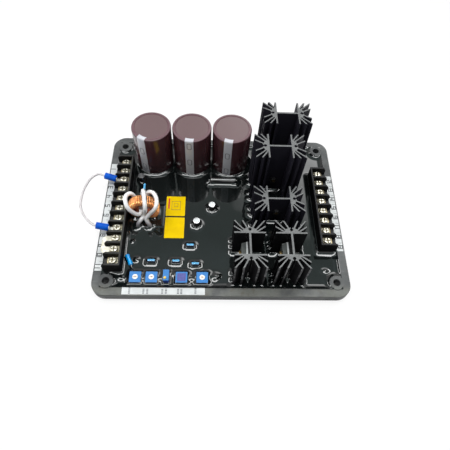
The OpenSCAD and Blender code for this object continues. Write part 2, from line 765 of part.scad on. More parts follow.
module contact_bars() {
  color("#c9b98a") at_terminals(0) difference() {
    translate([contact_start, contact_gap - bay_w / 2, -contact_t])
      cube([contact_l, bay_w - 2 * contact_gap, contact_t]);
    translate([0, 0, -contact_t - 1]) cylinder(d = screw_d + 2 * screw_fit, h = contact_t + 2);
  }
}

module clamp_plates() {
  color("#cfcabd") at_terminals(1) linear_extrude(clamp_t) difference() {
    translate([contact_start + clamp_l / 2, 0]) round_rect(clamp_l, clamp_w, clamp_w / 8);
    circle(d = screw_d + 2 * screw_fit);
  }
}

// Pan head screws with crossed slots; the shanks end flush with the contact bars
module terminal_screws() {
  slot_l = screw_head_d * 0.72;
  color("#d6d2c6") at_terminals(1) {
    translate([0, 0, -contact_t]) cylinder(d = screw_d, h = contact_t + clamp_t + eps);
    translate([0, 0, clamp_t]) difference() {
      pan_head();
      for (a = [0, 90]) rotate(a) translate([-slot_l / 2, -screw_slot_w / 2, screw_head_h * 0.5])
        cube([slot_l, screw_slot_w, screw_head_h]);
    }
  }
}

// Head with a rounded upper edge
module pan_head() {
  edge = screw_head_h * 0.45;
  rotate_extrude() intersection() {
    union() {
      square([screw_head_d / 2, screw_head_h - edge]);
      square([screw_head_d / 2 - edge, screw_head_h]);
      translate([screw_head_d / 2 - edge, screw_head_h - edge]) circle(edge);
    }
    square([screw_head_d, screw_head_h]);
  }
}

// Bent strap that joins two neighbouring terminals round the end of their barrier
module terminal_link() {
  prong_w = lug_w - link_narrow;
  strap_in = screw_in + link_gap;
  y_far = left_y(link_terminals[0]);
  y_near = left_y(link_terminals[1]);
  color("#c3beb2") translate([-screw_x, 0, contact_top]) mirror([1, 0, 0])
    linear_extrude(lug_t) difference() {
    union() {
      for (y = [y_far, y_near]) translate([-prong_w / 2, y - prong_w / 2])
        square([strap_in + link_strap_w + prong_w / 2, prong_w]);
      translate([strap_in, y_near - prong_w / 2]) square([link_strap_w, y_far - y_near + prong_w]);
    }
    for (y = [y_far, y_near]) translate([0, y]) circle(d = screw_d + 2 * screw_fit);
  }
}

// A lug's own frame: x runs out along the lug from its screw
module place_lug(i, turn) { translate([-screw_x, left_y(i), contact_top]) rotate(180 - turn) children(); }

module lug_axis() { translate([barrel_out, 0, barrel_d / 2]) rotate([0, 90 - lug_tilt, 0]) children(); }

// Fork, neck and crimped barrel
module lug() {
  fork_l = screw_d + fork_tip;
  neck_w = barrel_d * 0.8;
  linear_extrude(lug_t) difference() {
    union() {
      translate([fork_tip - fork_l, -lug_w / 2]) square([fork_l + fork_end, lug_w]);
      translate([0, -neck_w / 2]) square([barrel_out + 1, neck_w]);
    }
    translate([-fork_l, -screw_d / 2 - screw_fit]) square([fork_l, screw_d + 2 * screw_fit]);
    circle(d = screw_d + 2 * screw_fit);
  }
  lug_axis() cylinder(d = barrel_d, h = barrel_l);
}

module sleeve() {
  lug_axis() translate([0, 0, sleeve_start]) difference() {
    cylinder(d = sleeve_d, h = barrel_l - sleeve_start);
    translate([0, 0, -1]) cylinder(d = barrel_d + 2 * pin_fit, h = barrel_l + 2);
  }
}

module jumper_lug_rear() { color("#c8c6c0") place_lug(rear_lug_terminal, rear_lug_turn) lug(); }
module jumper_lug_front() { color("#c8c6c0") place_lug(front_lug_terminal, front_lug_turn) lug(); }
module jumper_sleeve_rear() { color("#1f7fd6") place_lug(rear_lug_terminal, rear_lug_turn) sleeve(); }
module jumper_sleeve_front() { color("#1f7fd6") place_lug(front_lug_terminal, front_lug_turn) sleeve(); }

module jumper_wire() {
  ends = [barrel_l, barrel_l + wire_stub];
  rear = [for (along = ends) barrel_point(rear_lug_terminal, rear_lug_turn, along)];
  front = [for (along = ends) barrel_point(front_lug_terminal, front_lug_turn, along)];
  route = concat(rear, jumper_route, [front[1], front[0]]);
  color("#f2f2ee") tube(smooth_between(route, 2), wire_d, 8, [0, 0, 1]);
}

module place_toroid() { translate([toroid_at[0], toroid_at[1], toroid_z]) children(); }

module toroid_core() {
  wall = (core_od - core_id) / 2;
  color("#4a4a48") place_toroid() rotate([90, 0, 0]) rotate_extrude()
    translate([(core_od + core_id) / 4, 0]) round_rect(wall, core_l, core_edge_r);
}

// Middle line of the winding: a flattened loop round the core's section, carried round the ring
function squircle(a) = let (c = cos(a), s = sin(a), k = 1 / pow(pow(c, 4) + pow(s, 4), 0.25)) [c * k, s * k];
function ring_point(turn, radius, along) = [radius * cos(turn), along, radius * sin(turn)];
function winding_ring(i) = let (
  loop = squircle(360 * (i + 0.5) / winding_steps),
  turn = winding_start + winding_span * i / (winding_steps * winding_turns),
  mid_r = (winding_in_r + winding_out_r) / 2,
  half_r = (winding_out_r - winding_in_r) / 2,
  outward = unit([loop[0] * winding_half_l, loop[1] * half_r]),
  centre = ring_point(turn, mid_r + half_r * loop[0], winding_half_l * loop[1]),
  out = ring_point(turn, outward[0], outward[1]),
  round_ring = [-sin(turn), 0, cos(turn)])
  [for (j = [0:5]) centre + winding_wire_d / 2 * (cos(60 * j) * out + sin(60 * j) * round_ring)];

module toroid_winding() {
  count = winding_steps * winding_turns;
  points = [for (i = [0:count], p = winding_ring(i)) p];
  color("#b8743c") place_toroid() polyhedron(points, tube_faces(count + 1, 6), convexity = 20);
}

module toroid_lead() {
  color("#f1efe8") place_toroid() tube(smooth_between(lead_route, 2), lead_d, 8, [0, 1, 0]);
}

// Places of the leaded resistors, with the body's middle at the origin and its length along X
module place_slanted() { translate([slant_at[0], slant_at[1], 0]) rotate(slant_turn) children(); }
module place_signal() { translate([signal_at[0], signal_at[1], 0]) rotate(90) children(); }
module place_rod() { translate([rod_at[0], rod_at[1], 0]) children(); }

function resistor_z(d) = resin_top + resistor_lift + d / 2;

// Legs that turn down from the body's ends to the board
module resistor_legs(l, d, room = 0) {
  reach = l / 2 + leg_out;
  for (x = [-1, 1]) translate([x * reach, 0, board_top - room])
    cylinder(d = leg_d + 2 * room, h = resistor_z(d) - board_top + room);
}

module resistor(l, d) {
  reach = l / 2 + leg_out;
  cap_l = l / 6;
  waist = d * 0.88;
  resistor_legs(l, d);
  for (x = [-1, 1]) translate([x * reach, 0, resistor_z(d)]) sphere(d = leg_d);
  translate([-reach, 0, resistor_z(d)]) rotate([0, 90, 0]) cylinder(d = leg_d, h = 2 * reach);
  translate([-l / 2, 0, resistor_z(d)]) rotate([0, 90, 0]) {
    cylinder(d = waist, h = l);
    cylinder(d = d, h = cap_l);
    translate([0, 0, l - cap_l]) cylinder(d = d, h = cap_l);
  }
}

module slanted_resistor() { color("#2a79c9") place_slanted() resistor(slant_l, slant_d); }
module signal_resistor() { color("#8fb6d6") place_signal() resistor(signal_l, signal_d); }
module power_resistor() { color("#161617") place_rod() resistor(rod_l, rod_d); }

function trimmer_size(i) = i == tall_trimmer ? [tall_trimmer_w, trimmer_w] : [trimmer_w, trimmer_w];
module place_trimmer(i) { translate([trimmer_x[i], trimmer_y, 0]) children(); }

// Square trimmer with a bored seat for its rotor
module square_trimmer(i, bored) {
  seat_h = rotor_h - rotor_rise + rotor_fit;
  color("#2f63b5") place_trimmer(i) translate([0, 0, board_top]) difference() {
    linear_extrude(trimmer_h) round_rect(trimmer_w, trimmer_w, trimmer_corner_r);
    if (bored) translate([0, 0, trimmer_h - seat_h]) cylinder(d = rotor_d + 2 * rotor_fit, h = seat_h + 1);
  }
}

module rotor(i) {
  slot_w = rotor_d / 5;
  slot_h = rotor_h / 2;
  foot = board_top + trimmer_h + rotor_rise - rotor_h;
  color("#f0efe9") place_trimmer(i) translate([0, 0, foot]) difference() {
    cylinder(d = rotor_d, h = rotor_h);
    translate([-rotor_d * 0.36, -slot_w / 2, rotor_h - slot_h]) cube([rotor_d * 0.72, slot_w, slot_h + 1]);
  }
}

module trimmer_1() { square_trimmer(0, true); }
module trimmer_2() { square_trimmer(1, true); }
module trimmer_4() { square_trimmer(3, false); }
module trimmer_5() { square_trimmer(4, true); }
module rotor_1() { rotor(0); }
module rotor_2() { rotor(1); }
module rotor_5() { rotor(4); }

// Many-turn trimmer with its adjusting screw near one corner of the top
module trimmer_3() {
  seat_h = rotor_h - adjuster_rise + rotor_fit;
  color("#2f63b5") place_trimmer(tall_trimmer) translate([0, 0, board_top]) difference() {
    linear_extrude(tall_trimmer_h) round_rect(tall_trimmer_w, trimmer_w, trimmer_corner_r);
    translate(adjuster_at + [0, 0, tall_trimmer_h - seat_h])
      cylinder(d = adjuster_d + 2 * rotor_fit, h = seat_h + 1);
  }
}

module adjuster_3() {
  slot_w = adjuster_d / 4;
  foot = board_top + tall_trimmer_h + adjuster_rise - rotor_h;
  color("#c9a24a") place_trimmer(tall_trimmer) translate(adjuster_at + [0, 0, foot]) difference() {
    cylinder(d = adjuster_d, h = rotor_h);
    translate([-adjuster_d, -slot_w / 2, rotor_h - adjuster_rise / 2])
      cube([2 * adjuster_d, slot_w, adjuster_rise]);
  }
}

module seal_4() {
  color("#5a4fa8") place_trimmer(3) translate([0, 0, board_top + trimmer_h])
    linear_extrude(seal_t) round_rect(seal_w, seal_w, label_corner_r);
}

module yellow_label(row) {
  color("#e6b92c") translate([yellow_at[0], yellow_at[1] + row * (yellow_d + yellow_gap) / 2, resin_top])
    linear_extrude(label_t) round_rect(yellow_w, yellow_d, label_corner_r);
}

module yellow_label_rear() { yellow_label(1); }
module yellow_label_front() { yellow_label(-1); }

// A paper strip on the rim beside a terminal strip
module side_label(side, n, mid) {
  color("#f4f4f1") translate([side * (well_x + label_margin + rim_label_w / 2), mid, tray_h])
    linear_extrude(label_t) square([rim_label_w, n * term_pitch], center = true);
}

module rim_label_left() { side_label(-1, left_terminals, left_strip_y); }
module rim_label_right() { side_label(1, right_terminals, right_strip_y); }

module rim_label_front() {
  color("#f4f4f1") translate([front_label_in - tray_w / 2, -well_y - label_margin - rim_label_w, tray_h])
    linear_extrude(label_t) square([front_label_l, rim_label_w]);
}

tray();
circuit_board();
potting_resin();
capacitor_left();
capacitor_middle();
capacitor_right();
heatsink_rear();
heatsink_middle();
heatsink_centre();
heatsink_front_left();
heatsink_front_right();
heatsink_pins();
power_device_rear();
power_device_middle();
power_device_centre();
power_device_front_left();
power_device_front_right();
device_screws();
device_nuts();
terminal_block_left();
terminal_block_right();
contact_bars();
clamp_plates();
terminal_screws();
terminal_link();
jumper_wire();
jumper_lug_rear();
jumper_lug_front();
jumper_sleeve_rear();
jumper_sleeve_front();
toroid_core();
toroid_winding();
toroid_lead();
small_capacitor_rear();
small_capacitor_front();
small_capacitor_left();
film_capacitor_1();
film_capacitor_2();
film_capacitor_3();
film_capacitor_4();
slanted_resistor();
signal_resistor();
power_resistor();
trimmer_1();
trimmer_2();
trimmer_3();
trimmer_4();
trimmer_5();
rotor_1();
rotor_2();
adjuster_3();
rotor_5();
seal_4();
yellow_label_rear();
yellow_label_front();
rim_label_left();
rim_label_right();
rim_label_front();
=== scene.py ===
import json
import logging
import math
from dataclasses import dataclass, field, replace
from enum import Enum
from functools import reduce
from typing import Iterable, Sequence

import bmesh
import bpy
import numpy as np
from mathutils import Matrix, Vector, noise
from mathutils.bvhtree import BVHTree


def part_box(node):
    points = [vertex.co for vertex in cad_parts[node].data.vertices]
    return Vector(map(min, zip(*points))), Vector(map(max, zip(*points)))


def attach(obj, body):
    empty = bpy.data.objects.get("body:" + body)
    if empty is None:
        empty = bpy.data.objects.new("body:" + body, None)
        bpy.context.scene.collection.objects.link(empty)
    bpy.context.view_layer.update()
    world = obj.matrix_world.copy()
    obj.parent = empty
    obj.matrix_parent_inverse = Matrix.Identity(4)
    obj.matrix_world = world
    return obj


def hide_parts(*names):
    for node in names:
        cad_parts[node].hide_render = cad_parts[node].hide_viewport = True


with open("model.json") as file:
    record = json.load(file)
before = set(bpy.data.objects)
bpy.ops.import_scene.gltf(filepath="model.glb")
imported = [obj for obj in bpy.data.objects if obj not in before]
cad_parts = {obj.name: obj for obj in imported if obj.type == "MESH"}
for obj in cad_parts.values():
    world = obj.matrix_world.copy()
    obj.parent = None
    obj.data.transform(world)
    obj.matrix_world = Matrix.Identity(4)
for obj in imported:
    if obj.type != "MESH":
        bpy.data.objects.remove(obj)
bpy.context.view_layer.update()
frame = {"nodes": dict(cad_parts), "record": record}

log = logging.getLogger("regulator")

Colour = tuple[float, float, float, float]
Span = tuple[float, float]
Spot = tuple[float, float, float]
Bar = tuple[float, float, float, float]
Points = Sequence[Vector]
Socket = bpy.types.NodeSocket
Mesh = bpy.types.Mesh

# One millimetre in metres; sizes are in millimetres and angles in degrees where no docstring says otherwise
MM = 0.001
BODY = "regulator"
WHITE: Colour = (1.0, 1.0, 1.0, 1.0)
TERMINAL_PITCH = 10.2

# Rounded edges of the dressed solids, and the angle above which an edge of a new mesh stays sharp
WELD_GAP = 0.001
EDGE_STEPS = 2
EDGE_ANGLE = 40.0
SHARP_ANGLE = 35.0

# Bars of a plain figure as shares of its width and height, and the bars that each digit shows
SEGMENTS = {"a": ((0, 1), (1, 1)), "b": ((1, 0.5), (1, 1)), "c": ((1, 0), (1, 0.5)), "d": ((0, 0), (1, 0)),
            "e": ((0, 0), (0, 0.5)), "f": ((0, 0.5), (0, 1)), "g": ((0, 0.5), (1, 0.5))}
DIGITS = ("abcdef", "bc", "abdeg", "abcdg", "bcfg", "acdfg", "acdefg", "abc", "abcdefg", "abcdfg")


class Effect(Enum):
    """Surface effects that several finishes share."""

    MOTTLE = "mottle"
    GRAIN = "grain"
    DUST = "dust"
    SCUFF = "scuff"


def srgb(red: int, green: int, blue: int) -> Colour:
    """Turns a colour as seen on a screen into shader values.

    Args:
        red: Red from 0 to 255.
        green: Green from 0 to 255.
        blue: Blue from 0 to 255.

    Returns:
        The linear colour, with full alpha.
    """
    def linear(value: int) -> float:
        """Undoes the screen's curve for one channel."""
        share = value / 255
        return share / 12.92 if share <= 0.04045 else ((share + 0.055) / 1.055) ** 2.4
    return (linear(red), linear(green), linear(blue), 1.0)


def middle_of(node: str) -> Vector:
    """Middle of a node's box at rest, in metres."""
    low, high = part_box(node)
    return (low + high) / 2


def foot_of(node: str) -> Vector:
    """Middle of the underside of a node's box at rest, in metres."""
    low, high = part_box(node)
    return Vector(((low.x + high.x) / 2, (low.y + high.y) / 2, low.z))


class Recipe:
    """A node tree under construction, with short calls that add and join nodes."""

    def __init__(self, tree: bpy.types.NodeTree) -> None:
        """Keeps the tree that the calls add to."""
        self.tree = tree

    def feed(self, socket: Socket, value: object) -> None:
        """Links a socket to another one, or sets a plain value on it.

        Args:
            socket: The input socket.
            value: The socket to link it to, or the plain value.
        """
        if isinstance(value, Socket):
            self.tree.links.new(value, socket)
        else:
            socket.default_value = value

    def node(self, kind: str, inputs: dict | None = None, **settings: object) -> bpy.types.Node:
        """Adds a node.

        Args:
            kind: The node's type.
            inputs: Sockets or plain values for its inputs, by name or number.
            **settings: The node's own properties.

        Returns:
            The new node.
        """
        added = self.tree.nodes.new(kind)
        for name, value in settings.items():
            setattr(added, name, value)
        for name, value in (inputs or {}).items():
            self.feed(added.inputs[name], value)
        return added

    def math(self, operation: str, *values: object, clamp: bool = False) -> Socket:
        """Result of a Math node."""
        inputs = dict(enumerate(values))
        return self.node("ShaderNodeMath", inputs, operation=operation, use_clamp=clamp).outputs[0]

    def product(self, *values: object) -> Socket:
        """Product of two or more values."""
        return reduce(lambda first, second: self.math("MULTIPLY", first, second), values)

    def minus(self, first: object, second: object) -> Socket:
        """The first value less the second."""
        return self.math("SUBTRACT", first, second)

    def length(self, first: object, second: object) -> Socket:
        """Length of a flat vector from its two parts."""
        squares = [self.product(part, part) for part in (first, second)]
        return self.math("SQRT", self.math("ADD", *squares))

    def ramp(self, value: object, low: object, high: object) -> Socket:
        """Soft step from 0 at the low value to 1 at the high value."""
        inputs = {"Value": value, "From Min": low, "From Max": high}
        return self.node("ShaderNodeMapRange", inputs, interpolation_type="SMOOTHSTEP").outputs["Result"]

    def fall(self, value: object, low: object, high: object) -> Socket:
        """Soft step from 1 at the low value to 0 at the high value."""
        return self.minus(1.0, self.ramp(value, low, high))

    def scale(self, value: object, low: float, high: float) -> Socket:
        """A mask carried over from 0 and 1 to two other numbers."""
        inputs = {"Value": value, "To Min": low, "To Max": high}
        return self.node("ShaderNodeMapRange", inputs).outputs["Result"]

    def mix(self, mask: object, first: object, second: object) -> Socket:
        """Two colours mixed by a mask; the node has them at inputs 6 and 7, and the result at output 2."""
        return self.node("ShaderNodeMix", {0: mask, 6: first, 7: second}, data_type="RGBA").outputs[2]

    def noise(self, vector: object, scale: object, detail: float) -> Socket:
        """Value of a noise texture."""
        inputs = {"Vector": vector, "Scale": scale, "Detail": detail}
        return self.node("ShaderNodeTexNoise", inputs).outputs[0]

    def place(self) -> Socket:
        """Place on the object, in its own axes."""
        return self.node("ShaderNodeTexCoord").outputs["Object"]

    def patches(self, scale: object, detail: float, low: object, high: object) -> Socket:
        """Mask of noise over the object, which rises as the noise goes from the low to the high value."""
        return self.ramp(self.noise(self.place(), scale, detail), low, high)

    def stretched(self, scale: Spot, turn: Spot = (0.0, 0.0, 0.0)) -> Socket:
        """Place on the object, turned in radians and stretched along its axes."""
        inputs = {"Vector": self.place(), "Rotation": turn, "Scale": scale}
        return self.node("ShaderNodeMapping", inputs).outputs[0]

    def split(self, vector: object) -> list[Socket]:
        """The x, y and z of a vector."""
        return list(self.node("ShaderNodeSeparateXYZ", {0: vector}).outputs)

    def upward(self, low: float, high: float) -> Socket:
        """Mask of what faces up, which rises as the normal's z goes from the low to the high value."""
        rise = self.split(self.node("ShaderNodeNewGeometry").outputs["Normal"])[2]
        return self.ramp(rise, low, high)

    def effect(self, effect: Effect, **values: object) -> Socket:
        """Places a shared effect and returns its first output.

        Args:
            effect: The effect to place.
            **values: Values for the effect's named inputs.

        Returns:
            The group node's output socket.
        """
        return self.node("ShaderNodeGroup", values, node_tree=Effects.tree(effect)).outputs[0]


class Effects:
    """Node groups of the shared effects, each built once."""

    built: dict[Effect, bpy.types.NodeTree] = {}

    @classmethod
    def tree(cls, effect: Effect) -> bpy.types.NodeTree:
        """Finds an effect's node group, and builds it at the first call.

        Args:
            effect: The effect.

        Returns:
            The node group.
        """
        if effect not in cls.built:
            cls.built[effect] = getattr(cls, effect.value)()
        return cls.built[effect]

    @staticmethod
    def start(effect: Effect, inputs: dict[str, float], output: str) -> tuple:
        """Opens a new node group with named sockets.

        Args:
            effect: The effect that the group makes.
            inputs: Default value of each input.
            output: Name of the output.

        Returns:
            The recipe, the input sockets by name and the output socket.
        """
        tree = bpy.data.node_groups.new(effect.value, "ShaderNodeTree")
        kind = "NodeSocketFloat"
        for name, value in inputs.items():
            tree.interface.new_socket(name, in_out="INPUT", socket_type=kind).default_value = value
        tree.interface.new_socket(output, in_out="OUTPUT", socket_type=kind)
        recipe = Recipe(tree)
        entry = recipe.node("NodeGroupInput")
        end = recipe.node("NodeGroupOutput")
        return recipe, {name: entry.outputs[name] for name in inputs}, end.inputs[output]

    @classmethod
    def mottle(cls) -> bpy.types.NodeTree:
        """Soft patches, as on any handled surface.

        Returns:
            The node group.
        """
        recipe, given, end = cls.start(Effect.MOTTLE, {"Scale": 200.0, "Contrast": 0.15}, "Mask")
        middle = 0.5
        low, high = (recipe.math(way, middle, given["Contrast"]) for way in ("SUBTRACT", "ADD"))
        recipe.feed(end, recipe.patches(given["Scale"], detail=4.0, low=low, high=high))
        return recipe.tree

    @classmethod
    def grain(cls) -> bpy.types.NodeTree:
        """Fine moulded grain over a slow waviness.

        Returns:
            The node group.
        """
        recipe, given, end = cls.start(Effect.GRAIN, {"Scale": 2000.0}, "Height")
        slowness, slow_height = 0.12, 0.6
        fine = recipe.noise(recipe.place(), given["Scale"], detail=2.0)
        slow = recipe.noise(recipe.place(), recipe.product(given["Scale"], slowness), detail=1.0)
        recipe.feed(end, recipe.math("ADD", fine, recipe.product(slow, slow_height)))
        return recipe.tree

    @classmethod
    def dust(cls) -> bpy.types.NodeTree:
        """Dust that settles in patches on what faces up.

        Returns:
            The node group.
        """
        recipe, given, end = cls.start(Effect.DUST, {"Amount": 0.5, "Scale": 160.0}, "Mask")
        fineness, speck_share = 14.0, 0.6
        cloud = recipe.patches(given["Scale"], detail=6.0, low=0.35, high=0.68)
        cloud = recipe.product(cloud, recipe.upward(low=0.2, high=0.9))
        specks = recipe.patches(recipe.product(given["Scale"], fineness), detail=2.0, low=0.66, high=0.74)
        settled = recipe.math("ADD", cloud, recipe.product(specks, speck_share))
        recipe.feed(end, recipe.math("MULTIPLY", settled, given["Amount"], clamp=True))
        return recipe.tree

    @classmethod
    def scuff(cls) -> bpy.types.NodeTree:
        """Thin scratches that run across the surface.

        Returns:
            The node group.
        """
        recipe, given, end = cls.start(Effect.SCUFF, {"Scale": 300.0}, "Mask")
        along = recipe.stretched(scale=(1.0, 14.0, 5.0), turn=(0.3, 0.2, 0.6))
        lines = recipe.noise(along, given["Scale"], detail=2.0)
        recipe.feed(end, recipe.ramp(lines, low=0.62, high=0.72))
        return recipe.tree


@dataclass
class Surface:
    """A material under construction, with its recipe and its Principled node."""

    recipe: Recipe
    shader: bpy.types.Node
    colour: object
    rough: object

    def tint(self, mask: object, colour: object) -> None:
        """Lays a colour over the one so far, where a mask says."""
        self.colour = self.recipe.mix(mask, self.colour, colour)

    def roughen(self, amount: object, clamp: bool = False) -> None:
        """Adds to the roughness so far."""
        self.rough = self.recipe.math("ADD", self.rough, amount, clamp=clamp)

    def set_metal(self, amount: object) -> None:
        """Sets how metallic the surface is."""
        self.recipe.feed(self.shader.inputs["Metallic"], amount)


@dataclass(frozen=True)
class Finish:
    """A moulded, painted or plated surface with two mottled colours.

    Sizes of the patches and the grain, and the depth of the relief, are in millimetres.
    """

    name: str
    colour: Colour
    second: Colour
    roughness: float
    spread: float = 0.1
    metallic: float = 0.0
    coat: float = 0.0
    patch: float = 6.0
    grain: float = 0.5
    relief: float = 0.08
    dust: float = 0.0
    dust_colour: Colour = srgb(150, 148, 138)
    scuff: float = 0.0
    specular: float = 0.5
    coat_roughness: float = 0.06
    scuff_roughness: float = 0.2
    dust_roughness: float = 0.3
    dust_fineness: float = 0.8
    relief_depth: float = 0.2

    def material(self) -> bpy.types.Material:
        """Finds the finish's material, and builds it at the first call.

        Returns:
            The material.
        """
        known = bpy.data.materials.get(f"{self.name}_finish")
        if known:
            return known
        material = bpy.data.materials.new(f"{self.name}_finish")
        material.use_nodes = True
        recipe = Recipe(material.node_tree)
        shader = material.node_tree.nodes["Principled BSDF"]
        plain = {"Specular IOR Level": self.specular, "Coat Weight": self.coat,
                 "Coat Roughness": self.coat_roughness, "Metallic": self.metallic}
        for socket, value in plain.items():
            shader.inputs[socket].default_value = value
        per_patch = 1 / (self.patch * MM)
        patches = recipe.effect(Effect.MOTTLE, Scale=per_patch)
        surface = Surface(recipe, shader, recipe.mix(patches, self.colour, self.second),
                          recipe.scale(patches, self.roughness, self.roughness + self.spread))
        self.pattern(surface)
        if self.scuff:
            lines = recipe.product(recipe.effect(Effect.SCUFF, Scale=per_patch), self.scuff)
            surface.roughen(recipe.product(lines, self.scuff_roughness), clamp=True)
            surface.tint(lines, self.dust_colour)
        if self.dust:
            settled = recipe.effect(Effect.DUST, Amount=self.dust, Scale=self.dust_fineness * per_patch)
            surface.tint(settled, self.dust_colour)
            surface.roughen(recipe.product(settled, self.dust_roughness), clamp=True)
        recipe.feed(shader.inputs["Base Color"], surface.colour)
        recipe.feed(shader.inputs["Roughness"], surface.rough)
        relief = {"Strength": self.relief, "Distance": self.relief_depth * MM, "Height": self.height(recipe)}
        recipe.feed(shader.inputs["Normal"], recipe.node("ShaderNodeBump", relief).outputs[0])
        return material

    def height(self, recipe: Recipe) -> Socket:
        """Height of the surface's fine relief."""
        return recipe.effect(Effect.GRAIN, Scale=1 / (self.grain * MM))

    def pattern(self, surface: Surface) -> None:
        """Adds what is drawn on the surface; a plain finish has nothing.

        Args:
            surface: The material so far, changed in place.
        """


def place_piece(
    name: str,
    mesh: Mesh,
    finish: Finish,
    nodes: Sequence[str] = (),
    at: Vector | None = None,
    turn: float = 0.0,
) -> None:
    """Adds a mesh to the scene as a piece of the regulator.

    Args:
        name: Name of the piece.
        mesh: Its mesh, in metres.
        finish: Its finish.
        nodes: The solids that it stands for.
        at: Where its origin goes, in metres.
        turn: Turn about the vertical, in degrees.
    """
    mesh.name = name
    piece = bpy.data.objects.new(name, mesh)
    bpy.context.scene.collection.objects.link(piece)
    if not mesh.materials:
        mesh.materials.append(finish.material())
    if at is not None:
        piece.location = at
    piece.rotation_euler = (0, 0, math.radians(turn))
    bpy.context.view_layer.update()
    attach(piece, BODY)
    if nodes:
        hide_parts(*nodes)
    log.info("piece %s: %d faces", name, len(mesh.polygons))


def dress(node: str, finish: Finish, edge: float = 0.0, swelling: float = 0.0) -> None:
    """Gives a solid its finish and small rounded edges.

    Args:
        node: The solid's node.
        finish: The finish.
        edge: Width of the rounded edges in millimetres, or 0 for none.
        swelling: How far its corners are pushed out before the rounding, in millimetres.
    """
    solid = frame["nodes"][node]
    solid.data.materials.clear()
    solid.data.materials.append(finish.material())
    if edge:
        weld = solid.modifiers.new("joined", "WELD")
        weld.merge_threshold = WELD_GAP * MM
        if swelling:
            push = solid.modifiers.new("swelling", "DISPLACE")
            push.strength = swelling * MM
            push.mid_level = 0.0
        rounding = solid.modifiers.new("edges", "BEVEL")
        rounding.width = edge * MM
        rounding.segments = EDGE_STEPS
        rounding.limit_method = "ANGLE"
        rounding.angle_limit = math.radians(EDGE_ANGLE)
        rounding.harden_normals = True
    log.info("dressed %s with %s", node, finish.name)


def smooth_route(points: Points, steps: int) -> list[Vector]:
    """Smooth curve through a list of points.

    Args:
        points: The points to pass through.
        steps: Steps between neighbours.

    Returns:
        The points of the curve.
    """
    last = len(points) - 1
    curve = []
    for i in range(last):
        a, b, c, d = (points[max(i - 1, 0)], points[i], points[i + 1], points[min(i + 2, last)])
        for j in range(steps):
            t = j / steps
            curve.append(0.5 * (2 * b + (c - a) * t + (2 * a - 5 * b + 4 * c - d) * t * t
                                + (3 * b - a - 3 * c + d) * t ** 3))
    return curve + [points[last]]


def around(sides: int) -> list[Span]:
    """Cosine and sine of equal steps round a circle."""
    angles = [2 * math.pi * j / sides for j in range(sides)]
    return [(math.cos(a), math.sin(a)) for a in angles]


def join_rings(built: bmesh.types.BMesh, rings: Sequence[Sequence[bmesh.types.BMVert]]) -> None:
    """Joins each ring of points to the next one with smooth faces.

    Args:
        built: The mesh under construction.
        rings: Rings of the same count; a ring that is one point repeats it.
    """
    for lower, upper in zip(rings, rings[1:]):
        for j in range(len(lower)):
            k = (j + 1) % len(lower)
            corners = dict.fromkeys((lower[j], lower[k], upper[k], upper[j]))
            built.faces.new(list(corners)).smooth = True


def sweep(route: Points, radius: float, sides: int) -> Mesh:
    """Round tube along a route, closed at both ends.

    Args:
        route: Points of the middle line, in metres.
        radius: Radius of the tube, in metres.
        sides: Faces round the tube.

    Returns:
        The tube's mesh.
    """
    built = bmesh.new()
    last = len(route) - 1
    # The first ring starts from a direction that no route here follows
    normal = Vector((0.31, 0.17, 0.93))
    rings = []
    for i, point in enumerate(route):
        along = (route[min(i + 1, last)] - route[max(i - 1, 0)]).normalized()
        normal = (normal - along * normal.dot(along)).normalized()
        across = along.cross(normal)
        rings.append([built.verts.new(point + radius * (c * normal + s * across)) for c, s in around(sides)])
    join_rings(built, rings)
    built.faces.new(reversed(rings[0]))
    built.faces.new(rings[-1])
    return finished(built)


def lathe(outline: Sequence[Span], sides: int) -> Mesh:
    """Turns an outline round the vertical axis.

    Args:
        outline: Radius and height of each point in millimetres, from the bottom's middle to the top's.
        sides: Faces round the axis.

    Returns:
        The turned mesh.
    """
    built = bmesh.new()
    rings = []
    for radius, height in outline:
        if radius == 0:
            rings.append([built.verts.new((0, 0, height * MM))] * sides)
        else:
            rings.append([built.verts.new((radius * MM * c, radius * MM * s, height * MM))
                          for c, s in around(sides)])
    join_rings(built, rings)
    return finished(built, SHARP_ANGLE)


def finished(built: bmesh.types.BMesh, sharp: float | None = None) -> Mesh:
    """Closes a mesh under construction.

    Args:
        built: The mesh under construction.
        sharp: Angle in degrees above which an edge stays sharp.

    Returns:
        The finished mesh.
    """
    bmesh.ops.recalc_face_normals(built, faces=built.faces)
    if sharp is not None:
        for edge in built.edges:
            edge.smooth = len(edge.link_faces) == 2 and edge.calc_face_angle(0) < math.radians(sharp)
    mesh = bpy.data.meshes.new("mesh")
    built.to_mesh(mesh)
    built.free()
    return mesh


def arc(middle: Span, radius: float, start: float, end: float, steps: int) -> list[Span]:
    """Points of an arc in an outline, from a start angle to an end angle."""
    angles = [math.radians(start + (end - start) * i / steps) for i in range(steps + 1)]
    return [(middle[0] + radius * math.cos(a), middle[1] + radius * math.sin(a)) for a in angles]


def add_box(built: bmesh.types.BMesh, low: Sequence[float], high: Sequence[float]) -> None:
    """Adds a box between two corners, in metres, to a mesh under construction."""
    for vert in bmesh.ops.create_cube(built, size=1)["verts"]:
        vert.co = [low[k] + (vert.co[k] + 0.5) * (high[k] - low[k]) for k in range(3)]


def rounded_block(low: Vector, high: Vector, edge: float, segments: int) -> Mesh:
    """Block with rounded edges.

    Args:
        low: Lowest corner in metres.
        high: Highest corner in metres.
        edge: Radius of the edges in millimetres.
        segments: Steps of the rounding.

    Returns:
        The block's mesh.
    """
    built = bmesh.new()
    add_box(built, low, high)
    bmesh.ops.bevel(built, geom=built.edges, offset=edge * MM, segments=segments, affect="EDGES", profile=0.5)
    for face in built.faces:
        face.smooth = True
    return finished(built)


